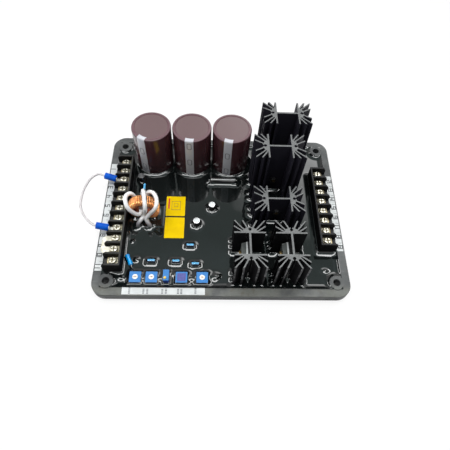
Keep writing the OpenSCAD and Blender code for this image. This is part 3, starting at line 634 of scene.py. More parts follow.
@dataclass(frozen=True)
class Lamp:
    """A soft lamp that faces the regulator.

    Its place and size are in millimetres, its power in watts and its beam's spread in degrees. A narrow
    beam fades towards the lamp's edges.
    """

    name: str
    at: Spot
    along: Spot
    size: Span
    power: float
    spread: float = 180.0

    def add(self) -> None:
        """Adds the lamp to the scene, with its long side in the direction that it has."""
        data = bpy.data.lights.new(self.name, "AREA")
        data.shape = "RECTANGLE"
        data.size, data.size_y = self.size[0] * MM, self.size[1] * MM
        data.energy = self.power
        data.spread = math.radians(self.spread)
        lamp = bpy.data.objects.new(self.name, data)
        back = Vector(self.at).normalized()
        across = back.cross(Vector(self.along)).normalized()
        turn = Matrix((across.cross(back), across, back)).transposed().to_4x4()
        lamp.matrix_world = Matrix.Translation(Vector(self.at) * MM) @ turn
        bpy.context.scene.collection.objects.link(lamp)


@dataclass
class Studio:
    """Camera of the photograph, soft light and a pale floor; sizes in millimetres, angles in degrees.

    The lamps are an arch of strips overhead, and softer ones behind and at the left. The room's colours
    are for what mirrors it, and change over bands of the direction's rise.
    """

    focal: float = 32.6456
    sensor: float = 36.0
    nearest: float = 10.0
    eye: Spot = (-13.91, -203.03, 324.99)
    pitch: float = 59.14
    yaw: float = 5.022
    roll: float = 5.2075
    dim_band: Span = (0.62, 0.9)
    dim_room: Colour = (0.53, 0.65, 0.62, 1.0)
    top_band: Span = (0.865, 0.905)
    top_room: Colour = (0.73, 0.88, 0.87, 1.0)
    shade: Colour = (0.06, 0.06, 0.065, 1.0)
    lamps: tuple[Lamp, ...] = (
        Lamp("overhead_lamp", (0, -150, 950), (1, 0, 0), (800, 170), 6.5),
        Lamp("left_strip_lamp", (-510, 265, 940), (-240, 550, -30), (800, 120), 4.1),
        Lamp("right_strip_lamp", (510, 265, 940), (240, 550, -30), (800, 120), 4.1),
        Lamp("back_lamp", (370, 990, 980), (1, 0, 0), (950, 950), 0.56, spread=32.0),
        Lamp("left_lamp", (-950, -120, 520), (0, 1, 0), (500, 500), 2.2))
    floor_size: float = 6000.0
    floor_gap: float = 0.2
    floor_colour: Colour = (0.9, 0.9, 0.9, 1.0)
    floor_roughness: float = 0.9
    floor_glow: float = 0.85

    def build(self) -> None:
        """Sets up the camera, world, lamps and floor."""
        self.add_camera()
        self.add_world()
        for lamp in self.lamps:
            lamp.add()
        self.add_floor()
        bpy.context.scene.view_settings.view_transform = "Standard"

    def add_camera(self) -> None:
        """Adds the camera at the photograph's viewing angle."""
        pitch, yaw, roll = (math.radians(v) for v in (self.pitch, self.yaw, self.roll))
        ahead = Vector((math.sin(yaw) * math.cos(pitch), math.cos(yaw) * math.cos(pitch), -math.sin(pitch)))
        level = ahead.cross(Vector((0, 0, 1))).normalized()
        upright = level.cross(ahead)
        right = level * math.cos(roll) + upright * math.sin(roll)
        turn = Matrix((right, right.cross(ahead), -ahead)).transposed().to_4x4()
        data = bpy.data.cameras.new("camera")
        data.lens = self.focal
        data.sensor_width = self.sensor
        data.clip_start = self.nearest * MM
        camera = bpy.data.objects.new("camera", data)
        camera.matrix_world = Matrix.Translation(Vector(self.eye) * MM) @ turn
        bpy.context.scene.collection.objects.link(camera)
        bpy.context.scene.camera = camera

    def add_world(self) -> None:
        """Adds a world that is white to the camera, a pale room to what mirrors it, and shade to the rest."""
        world = bpy.data.worlds.new("studio")
        world.use_nodes = True
        bpy.context.scene.world = world
        recipe = Recipe(world.node_tree)
        backdrop = world.node_tree.nodes["Background"]
        rise = recipe.split(recipe.node("ShaderNodeTexCoord").outputs["Generated"])[2]
        room = recipe.mix(recipe.ramp(rise, *self.dim_band), WHITE, self.dim_room)
        room = recipe.mix(recipe.ramp(rise, *self.top_band), room, self.top_room)
        path = recipe.node("ShaderNodeLightPath").outputs
        mirrored = recipe.math("MAXIMUM", path["Is Glossy Ray"], path["Is Transmission Ray"])
        seen = recipe.mix(mirrored, self.shade, room)
        recipe.feed(backdrop.inputs["Color"], recipe.mix(path["Is Camera Ray"], seen, WHITE))
        backdrop.inputs["Strength"].default_value = 1.0

    def add_floor(self) -> None:
        """Adds a pale floor that looks white to the camera and keeps a soft shadow."""
        built = bmesh.new()
        bmesh.ops.create_grid(built, x_segments=2, y_segments=2, size=self.floor_size * MM / 2)
        floor = bpy.data.objects.new("floor", finished(built))
        floor.location.z = -self.floor_gap * MM
        material = bpy.data.materials.new("pale_floor")
        material.use_nodes = True
        recipe = Recipe(material.node_tree)
        shader = material.node_tree.nodes["Principled BSDF"]
        shader.inputs["Base Color"].default_value = self.floor_colour
        shader.inputs["Roughness"].default_value = self.floor_roughness
        path = recipe.node("ShaderNodeLightPath").outputs
        glow = recipe.node("ShaderNodeEmission")
        both = recipe.node("ShaderNodeMixShader")
        shares = (recipe.product(path["Is Camera Ray"], self.floor_glow), shader.outputs[0], glow.outputs[0])
        for socket, value in zip(both.inputs, shares):
            recipe.feed(socket, value)
        recipe.feed(material.node_tree.nodes["Material Output"].inputs["Surface"], both.outputs[0])
        floor.data.materials.append(material)
        bpy.context.scene.collection.objects.link(floor)


@dataclass
class Jumper:
    """White jumper wire between two terminals; sizes and the route's points are in millimetres."""

    diameter: float = 2.2
    steps: int = 6
    roundness: int = 5
    lug_edge: float = 0.15
    sleeve_edge: float = 0.4
    swelling: float = 0.8
    finish: Finish = Finish("wire_vinyl", srgb(200, 197, 198), srgb(188, 185, 186), 0.32,
                            grain=1.2, relief=0.05)
    lug: Finish = Finish("lug_tin", srgb(214, 210, 202), srgb(180, 176, 168), 0.28, metallic=1.0, scuff=0.3)
    sleeve: Finish = Finish("sleeve_vinyl", srgb(4, 84, 190), srgb(2, 70, 168), 0.45,
                            grain=1.0, specular=0.12)
    lugs: tuple[str, ...] = ("jumper_lug_rear", "jumper_lug_front")
    sleeves: tuple[str, ...] = ("jumper_sleeve_rear", "jumper_sleeve_front")
    rear_end: Spot = (-106.912, 27.182, 22.862)
    route: tuple[Spot, ...] = (
        (-108.261, 27.42, 23.153), (-109.5, 27.8, 23.4), (-113, 28.4, 23.6), (-116.8, 27, 23),
        (-120.4, 23.6, 22), (-123.2, 18.4, 20.6), (-125.4, 12.2, 19.2), (-126.2, 4.4, 18.2),
        (-125.8, -2, 17.8), (-124, -7.4, 18.2), (-121.4, -12.2, 19), (-118, -17, 20.2),
        (-114, -21.6, 21.6), (-110.4, -24.6, 22.6), (-108.497, -25.506, 23.153))
    front_end: Spot = (-107.131, -25.602, 22.862)

    def build(self) -> None:
        """Lays the wire along its route and dresses what is on it."""
        points = [Vector(p) * MM for p in (self.rear_end, *self.route, self.front_end)]
        path = smooth_route(points, self.steps)
        wire = bpy.data.objects.new("jumper", self.curve(path))
        bpy.context.scene.collection.objects.link(wire)
        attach(wire, BODY)
        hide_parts("jumper_wire")
        for node in self.lugs:
            dress(node, self.lug, self.lug_edge)
        for node in self.sleeves:
            dress(node, self.sleeve, self.sleeve_edge, self.swelling)

    def curve(self, path: Points) -> bpy.types.Curve:
        """Round curve along a path.

        Args:
            path: Points of the wire's middle line, in metres.

        Returns:
            The curve, with its finish.
        """
        data = bpy.data.curves.new("jumper", "CURVE")
        data.dimensions = "3D"
        data.bevel_depth = self.diameter * MM / 2
        data.bevel_resolution = self.roundness
        data.use_fill_caps = True
        spline = data.splines.new("POLY")
        spline.points.add(len(path) - 1)
        for point, at in zip(spline.points, path):
            point.co = (*at, 1.0)
        spline.use_smooth = True
        data.materials.append(self.finish.material())
        return data


@dataclass(frozen=True)
class TrayFinish(Finish):
    """Dark moulded tray, with a dusty band along its front rim; places in millimetres, scales per metre."""

    band_start: float = 72.0
    band_full: float = 79.0
    band_colour: Colour = srgb(84, 86, 80)
    band_dark: Colour = srgb(74, 70, 60)
    cloud_scale: float = 70.0
    stain_scale: float = 180.0
    stain_share: float = 0.7

    def pattern(self, surface: Surface) -> None:
        """Adds the dusty band and its brown stains.

        Args:
            surface: The material so far, changed in place.
        """
        recipe = surface.recipe
        toward_front = recipe.product(recipe.split(recipe.place())[1], -1.0)
        band = recipe.ramp(toward_front, self.band_start * MM, self.band_full * MM)
        cloud = recipe.patches(self.cloud_scale, detail=5.0, low=0.25, high=0.6)
        dusty = recipe.product(band, recipe.upward(low=-0.2, high=0.8), cloud)
        stains = recipe.patches(self.stain_scale, detail=4.0, low=0.52, high=0.66)
        dust = recipe.mix(recipe.product(stains, self.stain_share), self.band_colour, self.band_dark)
        surface.tint(dusty, dust)


@dataclass(frozen=True)
class SleeveFinish(Finish):
    """Shrink sleeve with a paler top and a grey stripe with marks; sizes in millimetres.

    The stripe faces the piece's own -Y. Each mark is the line of a rounded box, of the half size given.
    """

    top: Colour = srgb(88, 66, 68)
    top_roughness: float = 0.25
    rim: Colour = srgb(84, 52, 60)
    rim_start: float = 14.1
    rim_full: float = 14.9
    stripe: Colour = srgb(188, 190, 196)
    half_stripe: float = 3.75
    stripe_blur: float = 0.12
    stripe_radius: float = 13.4
    ink: Colour = srgb(112, 114, 120)
    line_full: float = 0.2
    line_end: float = 0.5
    mark_half: Span = (0.7, 2.4)
    mark_round: float = 1.1
    mark_pitch: float = 21.3
    mark_start: float = 0.0
    mark_end: float = 48.0

    def pattern(self, surface: Surface) -> None:
        """Adds the pale top with its rim, the stripe and its rounded marks.

        Args:
            surface: The material so far, changed in place.
        """
        recipe = surface.recipe
        x, y, z = recipe.split(recipe.place())
        up = recipe.upward(low=0.25, high=0.85)
        radius = recipe.length(x, y)
        outer = recipe.ramp(radius, self.rim_start * MM, self.rim_full * MM)
        surface.tint(up, recipe.mix(outer, self.top, self.rim))
        surface.roughen(recipe.product(up, self.top_roughness))
        off = recipe.math("ABSOLUTE", x)
        inside = recipe.fall(off, (self.half_stripe - self.stripe_blur) * MM,
                             (self.half_stripe + self.stripe_blur) * MM)
        front = recipe.math("LESS_THAN", y, 0.0)
        stripe = recipe.product(inside, front, recipe.math("GREATER_THAN", radius, self.stripe_radius * MM))
        step = recipe.math("FLOORED_MODULO", recipe.minus(z, self.mark_start * MM), self.mark_pitch * MM)
        level = recipe.math("ABSOLUTE", recipe.minus(step, self.mark_pitch * MM / 2))
        past = [recipe.math("MAXIMUM", recipe.minus(value, half * MM), 0.0)
                for value, half in zip((off, level), self.mark_half)]
        line = recipe.math("ABSOLUTE", recipe.minus(recipe.length(*past), self.mark_round * MM))
        below_end = recipe.math("LESS_THAN", z, self.mark_end * MM)
        mark = recipe.product(recipe.fall(line, self.line_full * MM, self.line_end * MM), below_end)
        surface.tint(stripe, recipe.mix(mark, self.stripe, self.ink))


@dataclass(frozen=True)
class CutEndFinish(Finish):
    """Black anodised extrusion with bare sawn ends, and painted highlights on its fin tips where it has a
    front.

    The front is the tips' y in metres, and far out where no tip has the painted highlight. Other sizes are in
    millimetres, and scales are per metre.
    """

    bare: Colour = srgb(115, 117, 116)
    bare_metal: float = 0.55
    bare_roughness: float = 0.05
    saw_marks: Colour = srgb(88, 88, 90)
    saw_scale: float = 900.0
    # Painted highlight: a pale line on the front fin tips, where the lamps glint on their edges
    tip_highlight: Colour = srgb(150, 150, 152)
    tip_highlight_share: float = 0.45
    tip_highlight_scale: float = 260.0
    tip_highlight_from: float = 14.0
    tip_highlight_to: float = 36.0
    front: float = -1.0
    tip: float = 0.3
    stretch: float = 0.01

    def pattern(self, surface: Surface) -> None:
        """Adds painted highlights on the fin tips, fading towards their foot, and bare metal on what faces
        straight up.

        Args:
            surface: The material so far, changed in place.
        """
        recipe = surface.recipe
        _, y, z = recipe.split(recipe.place())
        at_tip = recipe.ramp(recipe.minus(self.front, y), -self.tip * MM, -self.tip * MM / 2)
        near_top = recipe.ramp(z, self.tip_highlight_from * MM, self.tip_highlight_to * MM)
        highlight_patches = recipe.patches(self.tip_highlight_scale, detail=3.0, low=0.3, high=0.6)
        # Painted highlight along the front tips, stronger near their top
        surface.tint(recipe.product(at_tip, near_top, highlight_patches, self.tip_highlight_share), self.tip_highlight)
        sawn = recipe.upward(low=0.75, high=0.95)
        saw_lines = recipe.noise(recipe.place(), self.saw_scale, detail=2.0)
        surface.tint(sawn, recipe.mix(saw_lines, self.bare, self.saw_marks))
        surface.roughen(recipe.product(sawn, self.bare_roughness))
        surface.set_metal(recipe.product(sawn, self.bare_metal))

    def height(self, recipe: Recipe) -> Socket:
        """Fine lines that run along the extrusion."""
        return recipe.noise(recipe.stretched((1.0, 1.0, self.stretch)), 1 / (self.grain * MM), detail=2.0)


@dataclass(frozen=True)
class TabFinish(Finish):
    """Moulded power device with a bare metal tab at its +X side; the start in millimetres."""

    tab: Colour = srgb(196, 198, 198)
    tab_metal: float = 0.7
    tab_start: float = 0.0

    def pattern(self, surface: Surface) -> None:
        """Adds the metal tab.

        Args:
            surface: The material so far, changed in place.
        """
        recipe = surface.recipe
        tab = recipe.math("GREATER_THAN", recipe.split(recipe.place())[0], self.tab_start * MM)
        surface.tint(tab, self.tab)
        surface.set_metal(recipe.product(tab, self.tab_metal))


@dataclass(frozen=True)
class RotorFinish(Finish):
    """White rotor with a coloured rim and a darker hub; the middle in metres, radii in millimetres."""

    middle: Span = (0.0, 0.0)
    hub: Colour = srgb(190, 150, 132)
    hub_radius: float = 0.42
    white_radius: float = 0.98
    rim: Colour = WHITE
    rim_start: float = 2.2
    rim_full: float = 2.5

    def pattern(self, surface: Surface) -> None:
        """Adds the rim and the hub.

        Args:
            surface: The material so far, changed in place.
        """
        recipe = surface.recipe
        off = [recipe.minus(value, middle)
               for value, middle in zip(recipe.split(recipe.place()), self.middle)]
        gap = recipe.length(*off)
        white = recipe.ramp(gap, self.hub_radius * MM, self.white_radius * MM)
        rim = recipe.ramp(gap, self.rim_start * MM, self.rim_full * MM)
        surface.colour = recipe.mix(white, self.hub, surface.colour)
        surface.tint(rim, self.rim)


@dataclass(frozen=True)
class WindingFinish(Finish):
    """Enamelled copper with painted shade towards the ring's hole; radii in millimetres."""

    # Painted shade: the darker red of the ring's front round its hole
    deep: Colour = srgb(150, 66, 30)
    hole_shade_radius: float = 8.6
    unshaded_radius: float = 11.6

    def pattern(self, surface: Surface) -> None:
        """Adds painted shade round the hole, where the ring's front lies in shade.

        Args:
            surface: The material so far, changed in place.
        """
        recipe = surface.recipe
        x, _, z = recipe.split(recipe.place())
        clear = recipe.ramp(recipe.length(x, z), self.hole_shade_radius * MM, self.unshaded_radius * MM)
        surface.colour = recipe.mix(clear, self.deep, surface.colour)


@dataclass(frozen=True)
class SleevingFinish(Finish):
    """White sleeving with painted shade on its tails; heights in millimetres from the toroid's middle."""

    # Painted shade: the tails greyed where they hang in shadow
    tail_shade: Colour = srgb(150, 147, 152)
    tail_shade_below: float = -7.0
    unshaded_above: float = 0.0

    def pattern(self, surface: Surface) -> None:
        """Adds painted shade on the tails, greyer towards their low ends.

        Args:
            surface: The material so far, changed in place.
        """
        recipe = surface.recipe
        untinted = recipe.ramp(recipe.split(recipe.place())[2], self.tail_shade_below * MM, self.unshaded_above * MM)
        surface.colour = recipe.mix(untinted, self.tail_shade, surface.colour)


@dataclass(frozen=True)
class TwoFaceFinish(Finish):
    """A piece whose top has another colour than its sides. On the bright small can the top is bare metal; on
    the other pieces the two colours are painted light and shade.
    """

    top: Colour = WHITE
    top_metal: float = 0.0
    top_start: float = 0.55
    top_full: float = 0.9

    def pattern(self, surface: Surface) -> None:
        """Adds the top's colour and shine; on all but the bright small can this is painted light and shade.

        Args:
            surface: The material so far, changed in place.
        """
        recipe = surface.recipe
        up = recipe.upward(self.top_start, self.top_full)
        surface.tint(up, self.top)
        if self.top_metal:
            surface.set_metal(recipe.product(up, self.top_metal))


@dataclass(frozen=True)
class TerminalFinish(Finish):
    """Metal of the terminals, with painted shade in the screwdriver slots, or a darker tone at each
    terminal's front; sizes in millimetres.
    """

    out: float = 90.0
    left_start: float = 0.0
    right_start: float = 0.0
    slotted: bool = False
    slot_half: Span = (2.3, 0.5)
    # Painted shade in the screwdriver slots
    slot_shade: Colour = srgb(104, 95, 74)
    # Darker tone towards each terminal's front
    front_tone: Colour = srgb(78, 70, 50)
    front_tone_end: float = -2.2
    front_tone_full: float = -3.6

    def pattern(self, surface: Surface) -> None:
        """Adds painted shade in the slots' cross, or the darker tone at each terminal's front.

        Args:
            surface: The material so far, changed in place.
        """
        recipe = surface.recipe
        x, y, _ = recipe.split(recipe.place())
        right = recipe.math("GREATER_THAN", x, 0.0)
        start = recipe.scale(right, self.left_start * MM, self.right_start * MM)
        half = TERMINAL_PITCH * MM / 2
        from_edge = recipe.math("ADD", recipe.minus(y, start), half)
        along = recipe.minus(recipe.math("FLOORED_MODULO", from_edge, 2 * half), half)
        if not self.slotted:
            untinted = recipe.ramp(along, self.front_tone_full * MM, self.front_tone_end * MM)
            surface.colour = recipe.mix(untinted, self.front_tone, surface.colour)
            return
        across = recipe.minus(recipe.math("ABSOLUTE", x), self.out * MM)
        off = [recipe.math("ABSOLUTE", value) for value in (across, along)]
        arms = []
        for pair in (off, off[::-1]):
            arms.append(recipe.product(*[recipe.math("LESS_THAN", value, reach * MM)
                                         for value, reach in zip(pair, self.slot_half)]))
        # Painted shade where the slots' cross lies
        surface.tint(recipe.math("MAXIMUM", *arms), self.slot_shade)


@dataclass
class Tray:
    """Moulded tray and the board in it."""

    edge: float = 0.25
    shell: TrayFinish = TrayFinish("tray_plastic", srgb(42, 44, 45), srgb(53, 55, 56), 0.5, spread=0.15,
                                   patch=14.0, grain=0.7, relief=0.15, dust=0.22, scuff=0.12,
                                   dust_colour=srgb(138, 141, 140))
    board: Finish = Finish("board_lacquer", srgb(52, 104, 62), srgb(44, 92, 54), 0.35)

    def build(self) -> None:
        """Dresses the tray and the covered board."""
        dress("tray", self.shell, self.edge)
        dress("circuit_board", self.board)


@dataclass
class Resin:
    """Poured resin that creeps up the pieces it meets; sizes in millimetres.

    Each drip has its place, its width, its depth and its rise. The pad is a low swell under the toroid. The
    level, the half size and the grid's lines x and y are in metres, and the grid's points across and along
    in millimetres.
    """

    step: float = 0.58
    creep_height: float = 2.0
    creep_reach: float = 4.4
    creep_power: float = 1.5
    small_share: float = 0.79
    lip_share: float = 0.25
    lip_reach: float = 0.35
    probe_height: float = 0.4
    rod_drop: float = 2.0
    least_depth: float = 0.1
    least_rise: float = 0.3
    label_gap: float = 2.0
    lap: float = 0.4
    corner: float = 10.0
    boss_radius: float = 6.3
    boss_lap: float = 0.5
    ripple: float = 0.08
    ripple_length: float = 16.0
    floor: float = 2.6
    sharp: float = 60.0
    labels: tuple[str, ...] = ("yellow_label_rear", "yellow_label_front")
    small_parts: tuple[str, ...] = ("film", "small")
    dry: tuple[str, ...] = ("tray", "potting_resin", "circuit_board", "toroid_core", "slanted_resistor")
    drips: tuple[tuple[float, ...], ...] = (
        (87.1, -60.0, 2.7, 1.7, 0.75), (-6.6, -66.8, 3.4, 3.4, 1.5), (-3.0, -65.8, 1.6, 1.6, 0.7),
        (-72.3, -51.6, 2.6, 2.6, 1.2), (-40.9, -65.4, 1.7, 1.7, 0.75), (-83.4, -68.4, 4.0, 2.2, 1.0),
        (-77.5, -34.2, 1.9, 1.9, 0.85), (-65.1, -68.2, 2.9, 2.9, 1.2), (-51.2, -68.2, 2.9, 2.9, 1.2),
        (-25.6, -68.0, 3.0, 3.0, 1.3))
    pad_low: Span = (-73.0, -18.4)
    pad_high: Span = (-53.2, 3.0)
    pad_rise: float = 0.42
    pad_edge: float = 1.7
    finish: Finish = Finish("poured_resin", srgb(11, 14, 14), srgb(13, 17, 17), 0.03, spread=0.03,
                            patch=30.0, grain=9.0, relief=0.03)
    level: float = field(init=False)
    half: Vector = field(init=False)
    x: np.ndarray = field(init=False)
    y: np.ndarray = field(init=False)
    across: np.ndarray = field(init=False)
    along: np.ndarray = field(init=False)

    def build(self) -> None:
        """Builds the resin's surface and closes it below."""
        self.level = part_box(self.labels[0])[0].z
        low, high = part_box("potting_resin")
        self.half = Vector((high.x - low.x, high.y - low.y)) / 2
        lap = self.lap * MM
        columns, rows = (int(2 * (half + lap) / (self.step * MM)) for half in self.half)
        self.x = np.linspace(-self.half.x - lap, self.half.x + lap, columns + 1)
        self.y = np.linspace(-self.half.y - lap, self.half.y + lap, rows + 1)
        self.across, self.along = (grid / MM for grid in np.meshgrid(self.x, self.y, indexing="ij"))
        height = self.level + self.surface() * MM
        place_piece("resin", self.closed(height), self.finish, ["potting_resin"])

    def bosses(self) -> list[Vector]:
        """Finds the four corner bosses.

        Returns:
            Their middles, in metres.
        """
        holes = next(m for m in frame["record"]["mounts"] if m["name"] == "mounting_holes")["dims"]
        half_x, half_y = holes["spacing_x_mm"] * MM / 2, holes["spacing_y_mm"] * MM / 2
        return [Vector((sx * half_x, sy * half_y)) for sx in (-1, 1) for sy in (-1, 1)]

    def outside(self, low: Sequence[float], high: Sequence[float]) -> np.ndarray:
        """Gap from each grid point to a rectangle.

        Args:
            low: The rectangle's lowest x and y.
            high: Its highest x and y.

        Returns:
            The gaps, with 0 inside the rectangle.
        """
        past = [np.maximum(np.maximum(low[k] - grid, grid - high[k]), 0)
                for k, grid in enumerate((self.across, self.along))]
        return np.hypot(*past)

    def surface(self) -> np.ndarray:
        """Shapes the resin's surface.

        Returns:
            The height over the resin's level at each grid point.
        """
        height = self.creep_height * (1 - self.flat_share())
        for node in self.labels:
            low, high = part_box(node)
            height *= np.clip(self.outside(low / MM, high / MM) / self.label_gap, 0, 1)
        for x, y, wide, deep, rise in self.drips:
            gap = np.hypot((self.across - x) / wide, (self.along - y) / deep)
            height += rise * np.exp(-gap ** 2)
        inside = np.clip(1 - self.outside(self.pad_low, self.pad_high) / self.pad_edge, 0, 1)
        height += self.pad_rise * inside ** 2 * (3 - 2 * inside)
        waves = [[noise.noise(Vector((x, y, 0)) / (self.ripple_length * MM)) for y in self.y] for x in self.x]
        return height + self.ripple * np.array(waves)

    def flat_share(self) -> np.ndarray:
        """Finds where the resin stays flat, away from walls, bosses and pieces.

        Returns:
            The share of each grid point that stays flat.
        """
        inner = self.half / MM - Vector((self.corner, self.corner))
        to_wall = self.corner - self.outside(-inner, inner)
        share = 1 - self.creep(np.maximum(to_wall, 0))
        for boss in self.bosses():
            gap = np.hypot(self.across - boss.x / MM, self.along - boss.y / MM) - self.boss_radius
            share *= 1 - self.creep(np.maximum(gap, 0))
        for node in self.touching():
            self.creep_up(node, share)
        return share

    def creep(self, gap: np.ndarray) -> np.ndarray:
        """Share of the full creep at a gap from a piece."""
        ramp = np.clip(1 - gap / self.creep_reach, 0, 1) ** self.creep_power
        return (1 - self.lip_share) * ramp + self.lip_share * np.exp(-gap / self.lip_reach)

    def touching(self) -> list[str]:
        """Finds what stands in the resin's surface.

        Returns:
            The nodes.
        """
        found = []
        for node in frame["nodes"]:
            low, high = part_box(node)
            depth, rise = (self.level - low.z) / MM, (high.z - self.level) / MM
            if node not in self.dry and depth > self.least_depth and rise > self.least_rise:
                found.append(node)
        return found

    def creep_up(self, node: str, flat_share: np.ndarray) -> None:
        """Lowers the flat share of the surface round one node.

        Args:
            node: The node that the resin creeps up.
            flat_share: Share of the surface that stays flat, changed in place.
        """
        mesh = frame["nodes"][node].data
        tree = BVHTree.FromPolygons([v.co for v in mesh.vertices], [p.vertices for p in mesh.polygons])
        low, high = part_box(node)
        room = self.creep_reach * MM
        share = self.small_share if node.startswith(self.small_parts) else 1.0
        columns = np.flatnonzero((self.x > low.x - room) & (self.x < high.x + room))
        rows = np.flatnonzero((self.y > low.y - room) & (self.y < high.y + room))
        probe = self.level + self.probe_height * MM
        if node == "power_resistor":
            probe = high.z - self.rod_drop * MM
        for i in columns:
            for j in rows:
                gap = tree.find_nearest((self.x[i], self.y[j], probe), room)[3]
                if gap is not None:
                    flat_share[i, j] *= 1 - share * self.creep(gap / MM)

    def closed(self, height: np.ndarray) -> Mesh:
        """Makes a closed mesh of the surface, its sides and its flat underside.

        Args:
            height: Height of each grid point, in metres.

        Returns:
            The closed mesh.
        """
        count = len(self.y)
        points = [(x, y, height[i, j]) for i, x in enumerate(self.x) for j, y in enumerate(self.y)]
        bosses = self.bosses()
        hidden = (self.boss_radius - self.boss_lap) * MM
        faces = []
        for i in range(len(self.x) - 1):
            for j in range(count - 1):
                spot = Vector(((self.x[i] + self.x[i + 1]) / 2, (self.y[j] + self.y[j + 1]) / 2))
                if all((spot - boss).length > hidden for boss in bosses):
                    corners = ((i, j), (i + 1, j), (i + 1, j + 1), (i, j + 1))
                    faces.append([a * count + b for a, b in corners])
        sheet = bpy.data.meshes.new("sheet")
        sheet.from_pydata(points, [], faces)
        built = bmesh.new()
        built.from_mesh(sheet)
        bpy.data.meshes.remove(sheet)
        bmesh.ops.delete(built, geom=[v for v in built.verts if not v.link_faces], context="VERTS")
        for face in built.faces:
            face.smooth = True
        rim = [e for e in built.edges if e.is_boundary]
        skirt = bmesh.ops.extrude_edge_only(built, edges=rim)["geom"]
        for vert in (g for g in skirt if isinstance(g, bmesh.types.BMVert)):
            vert.co.z = self.floor * MM
        under = [e for e in built.edges if e.is_boundary]
        bmesh.ops.contextual_create(built, geom=under)
        return finished(built, self.sharp)


@dataclass
class MainCapacitors:
    """Three large cans in shrink sleeves; sizes in millimetres, turns in degrees.

    The lip falls into the dished top over three points, each given by how far out and how far down it is.
    """

    nodes: tuple[str, ...] = ("capacitor_left", "capacitor_middle", "capacitor_right")
    turns: tuple[float, ...] = (-27.9, -6.8, -13.0)
    mark_starts: tuple[float, ...] = (2.0, 11.3, 20.6)
    sides: int = 128
    edge: float = 1.4
    foot_steps: int = 5
    top_steps: int = 7
    lip: float = 2.6
    lip_fall: tuple[Span, ...] = ((0.25, 0.0), (0.0, 0.2), (-0.15, 0.5))
    dish_share: float = 0.6
    sleeve: SleeveFinish = SleeveFinish("sleeve", srgb(70, 42, 47), srgb(60, 35, 40), 0.16, spread=0.06,
                                        patch=25.0, grain=3.0, relief=0.06, coat=0.15, dust=0.05)

    def build(self) -> None:
        """Builds the three cans, each with its stripe turned as it stands."""
        for node, turn, start in zip(self.nodes, self.turns, self.mark_starts):
            low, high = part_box(node)
            finish = replace(self.sleeve, name=f"{node}_sleeve", mark_start=start)
            mesh = lathe(self.outline((high.x - low.x) / 2 / MM, (high.z - low.z) / MM), self.sides)
            place_piece(f"can_{node}", mesh, finish, [node], at=foot_of(node), turn=turn)

    def outline(self, radius: float, height: float) -> list[Span]:
        """Draws half the section of a can with rolled edges and a dished top.

        Args:
            radius: Radius of the can.
            height: Its height.

        Returns:
            The outline's points.
        """
        inner = radius - self.lip
        foot = arc((radius - self.edge, self.edge), self.edge, -90, 0, self.foot_steps)
        top = arc((radius - self.edge, height - self.edge), self.edge, 0, 90, self.top_steps)
        fall = [(inner + out, height - down) for out, down in self.lip_fall]
        dish = fall[-1][1]
        return [(0, 0), *foot, *top, *fall, (inner * self.dish_share, dish), (0, dish)]


@dataclass
class HeatSinks:
    """Five extrusions with their devices, screws, nuts and pins; sizes in millimetres."""

    names: tuple[str, ...] = ("rear", "middle", "centre", "front_left", "front_right")
    edge: float = 0.12
    fixing_edge: float = 0.2
    tab: float = 1.3
    # One black anodising in two colours: darker on the front sinks, whose fins catch the lamps, and paler on
    # the rear ones in shade; painted shade and painted light
    front_black: CutEndFinish = CutEndFinish("black_anodised", srgb(11, 11, 13), srgb(14, 14, 16), 0.5,
                                             patch=9.0, grain=0.35, relief=0.2, specular=0.08)
    rear_black: CutEndFinish = replace(front_black, colour=srgb(32, 31, 39), second=srgb(36, 35, 43))
    device: Finish = Finish("device_mould", srgb(58, 62, 61), srgb(72, 76, 74), 0.5, grain=0.4, dust=0.1)
    tabbed: TabFinish = TabFinish("device", device.colour, device.second, device.roughness, grain=0.4)
    steel: Finish = Finish("yellow_zinc", srgb(104, 88, 58), srgb(80, 66, 42), 0.45, metallic=0.9, patch=2.0)
    oxide: Finish = Finish("black_oxide", srgb(14, 14, 16), srgb(20, 20, 22), 0.4, patch=2.0, specular=0.3)
    tin: Finish = Finish("pin_tin", srgb(208, 208, 206), srgb(180, 180, 178), 0.35, metallic=1.0)

    def build(self) -> None:
        """Dresses the heat sinks and what is fixed to them."""
        for name in self.names:
            self.dress_sink(name)
        dress("device_screws", self.steel, self.fixing_edge)
        dress("device_nuts", self.oxide, self.fixing_edge)
        dress("heatsink_pins", self.tin)

    def dress_sink(self, name: str) -> None:
        """Dresses a heat sink and its device; those at the front get a darker copy of the black, painted
        highlights on their fin tips, and bare tabs.

        Args:
            name: The heat sink's place.
        """
        sink, device = f"heatsink_{name}", f"power_device_{name}"
        black, mould = replace(self.rear_black, name=f"black_anodised_{name}"), self.device
        if name.startswith("front"):
            black = replace(self.front_black, name=black.name, front=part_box(sink)[0].y)
            tab_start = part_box(device)[1].x / MM - self.tab
            mould = replace(self.tabbed, name=f"device_{name}", tab_start=tab_start)
        dress(sink, black, self.edge)
        dress(device, mould, self.fixing_edge)


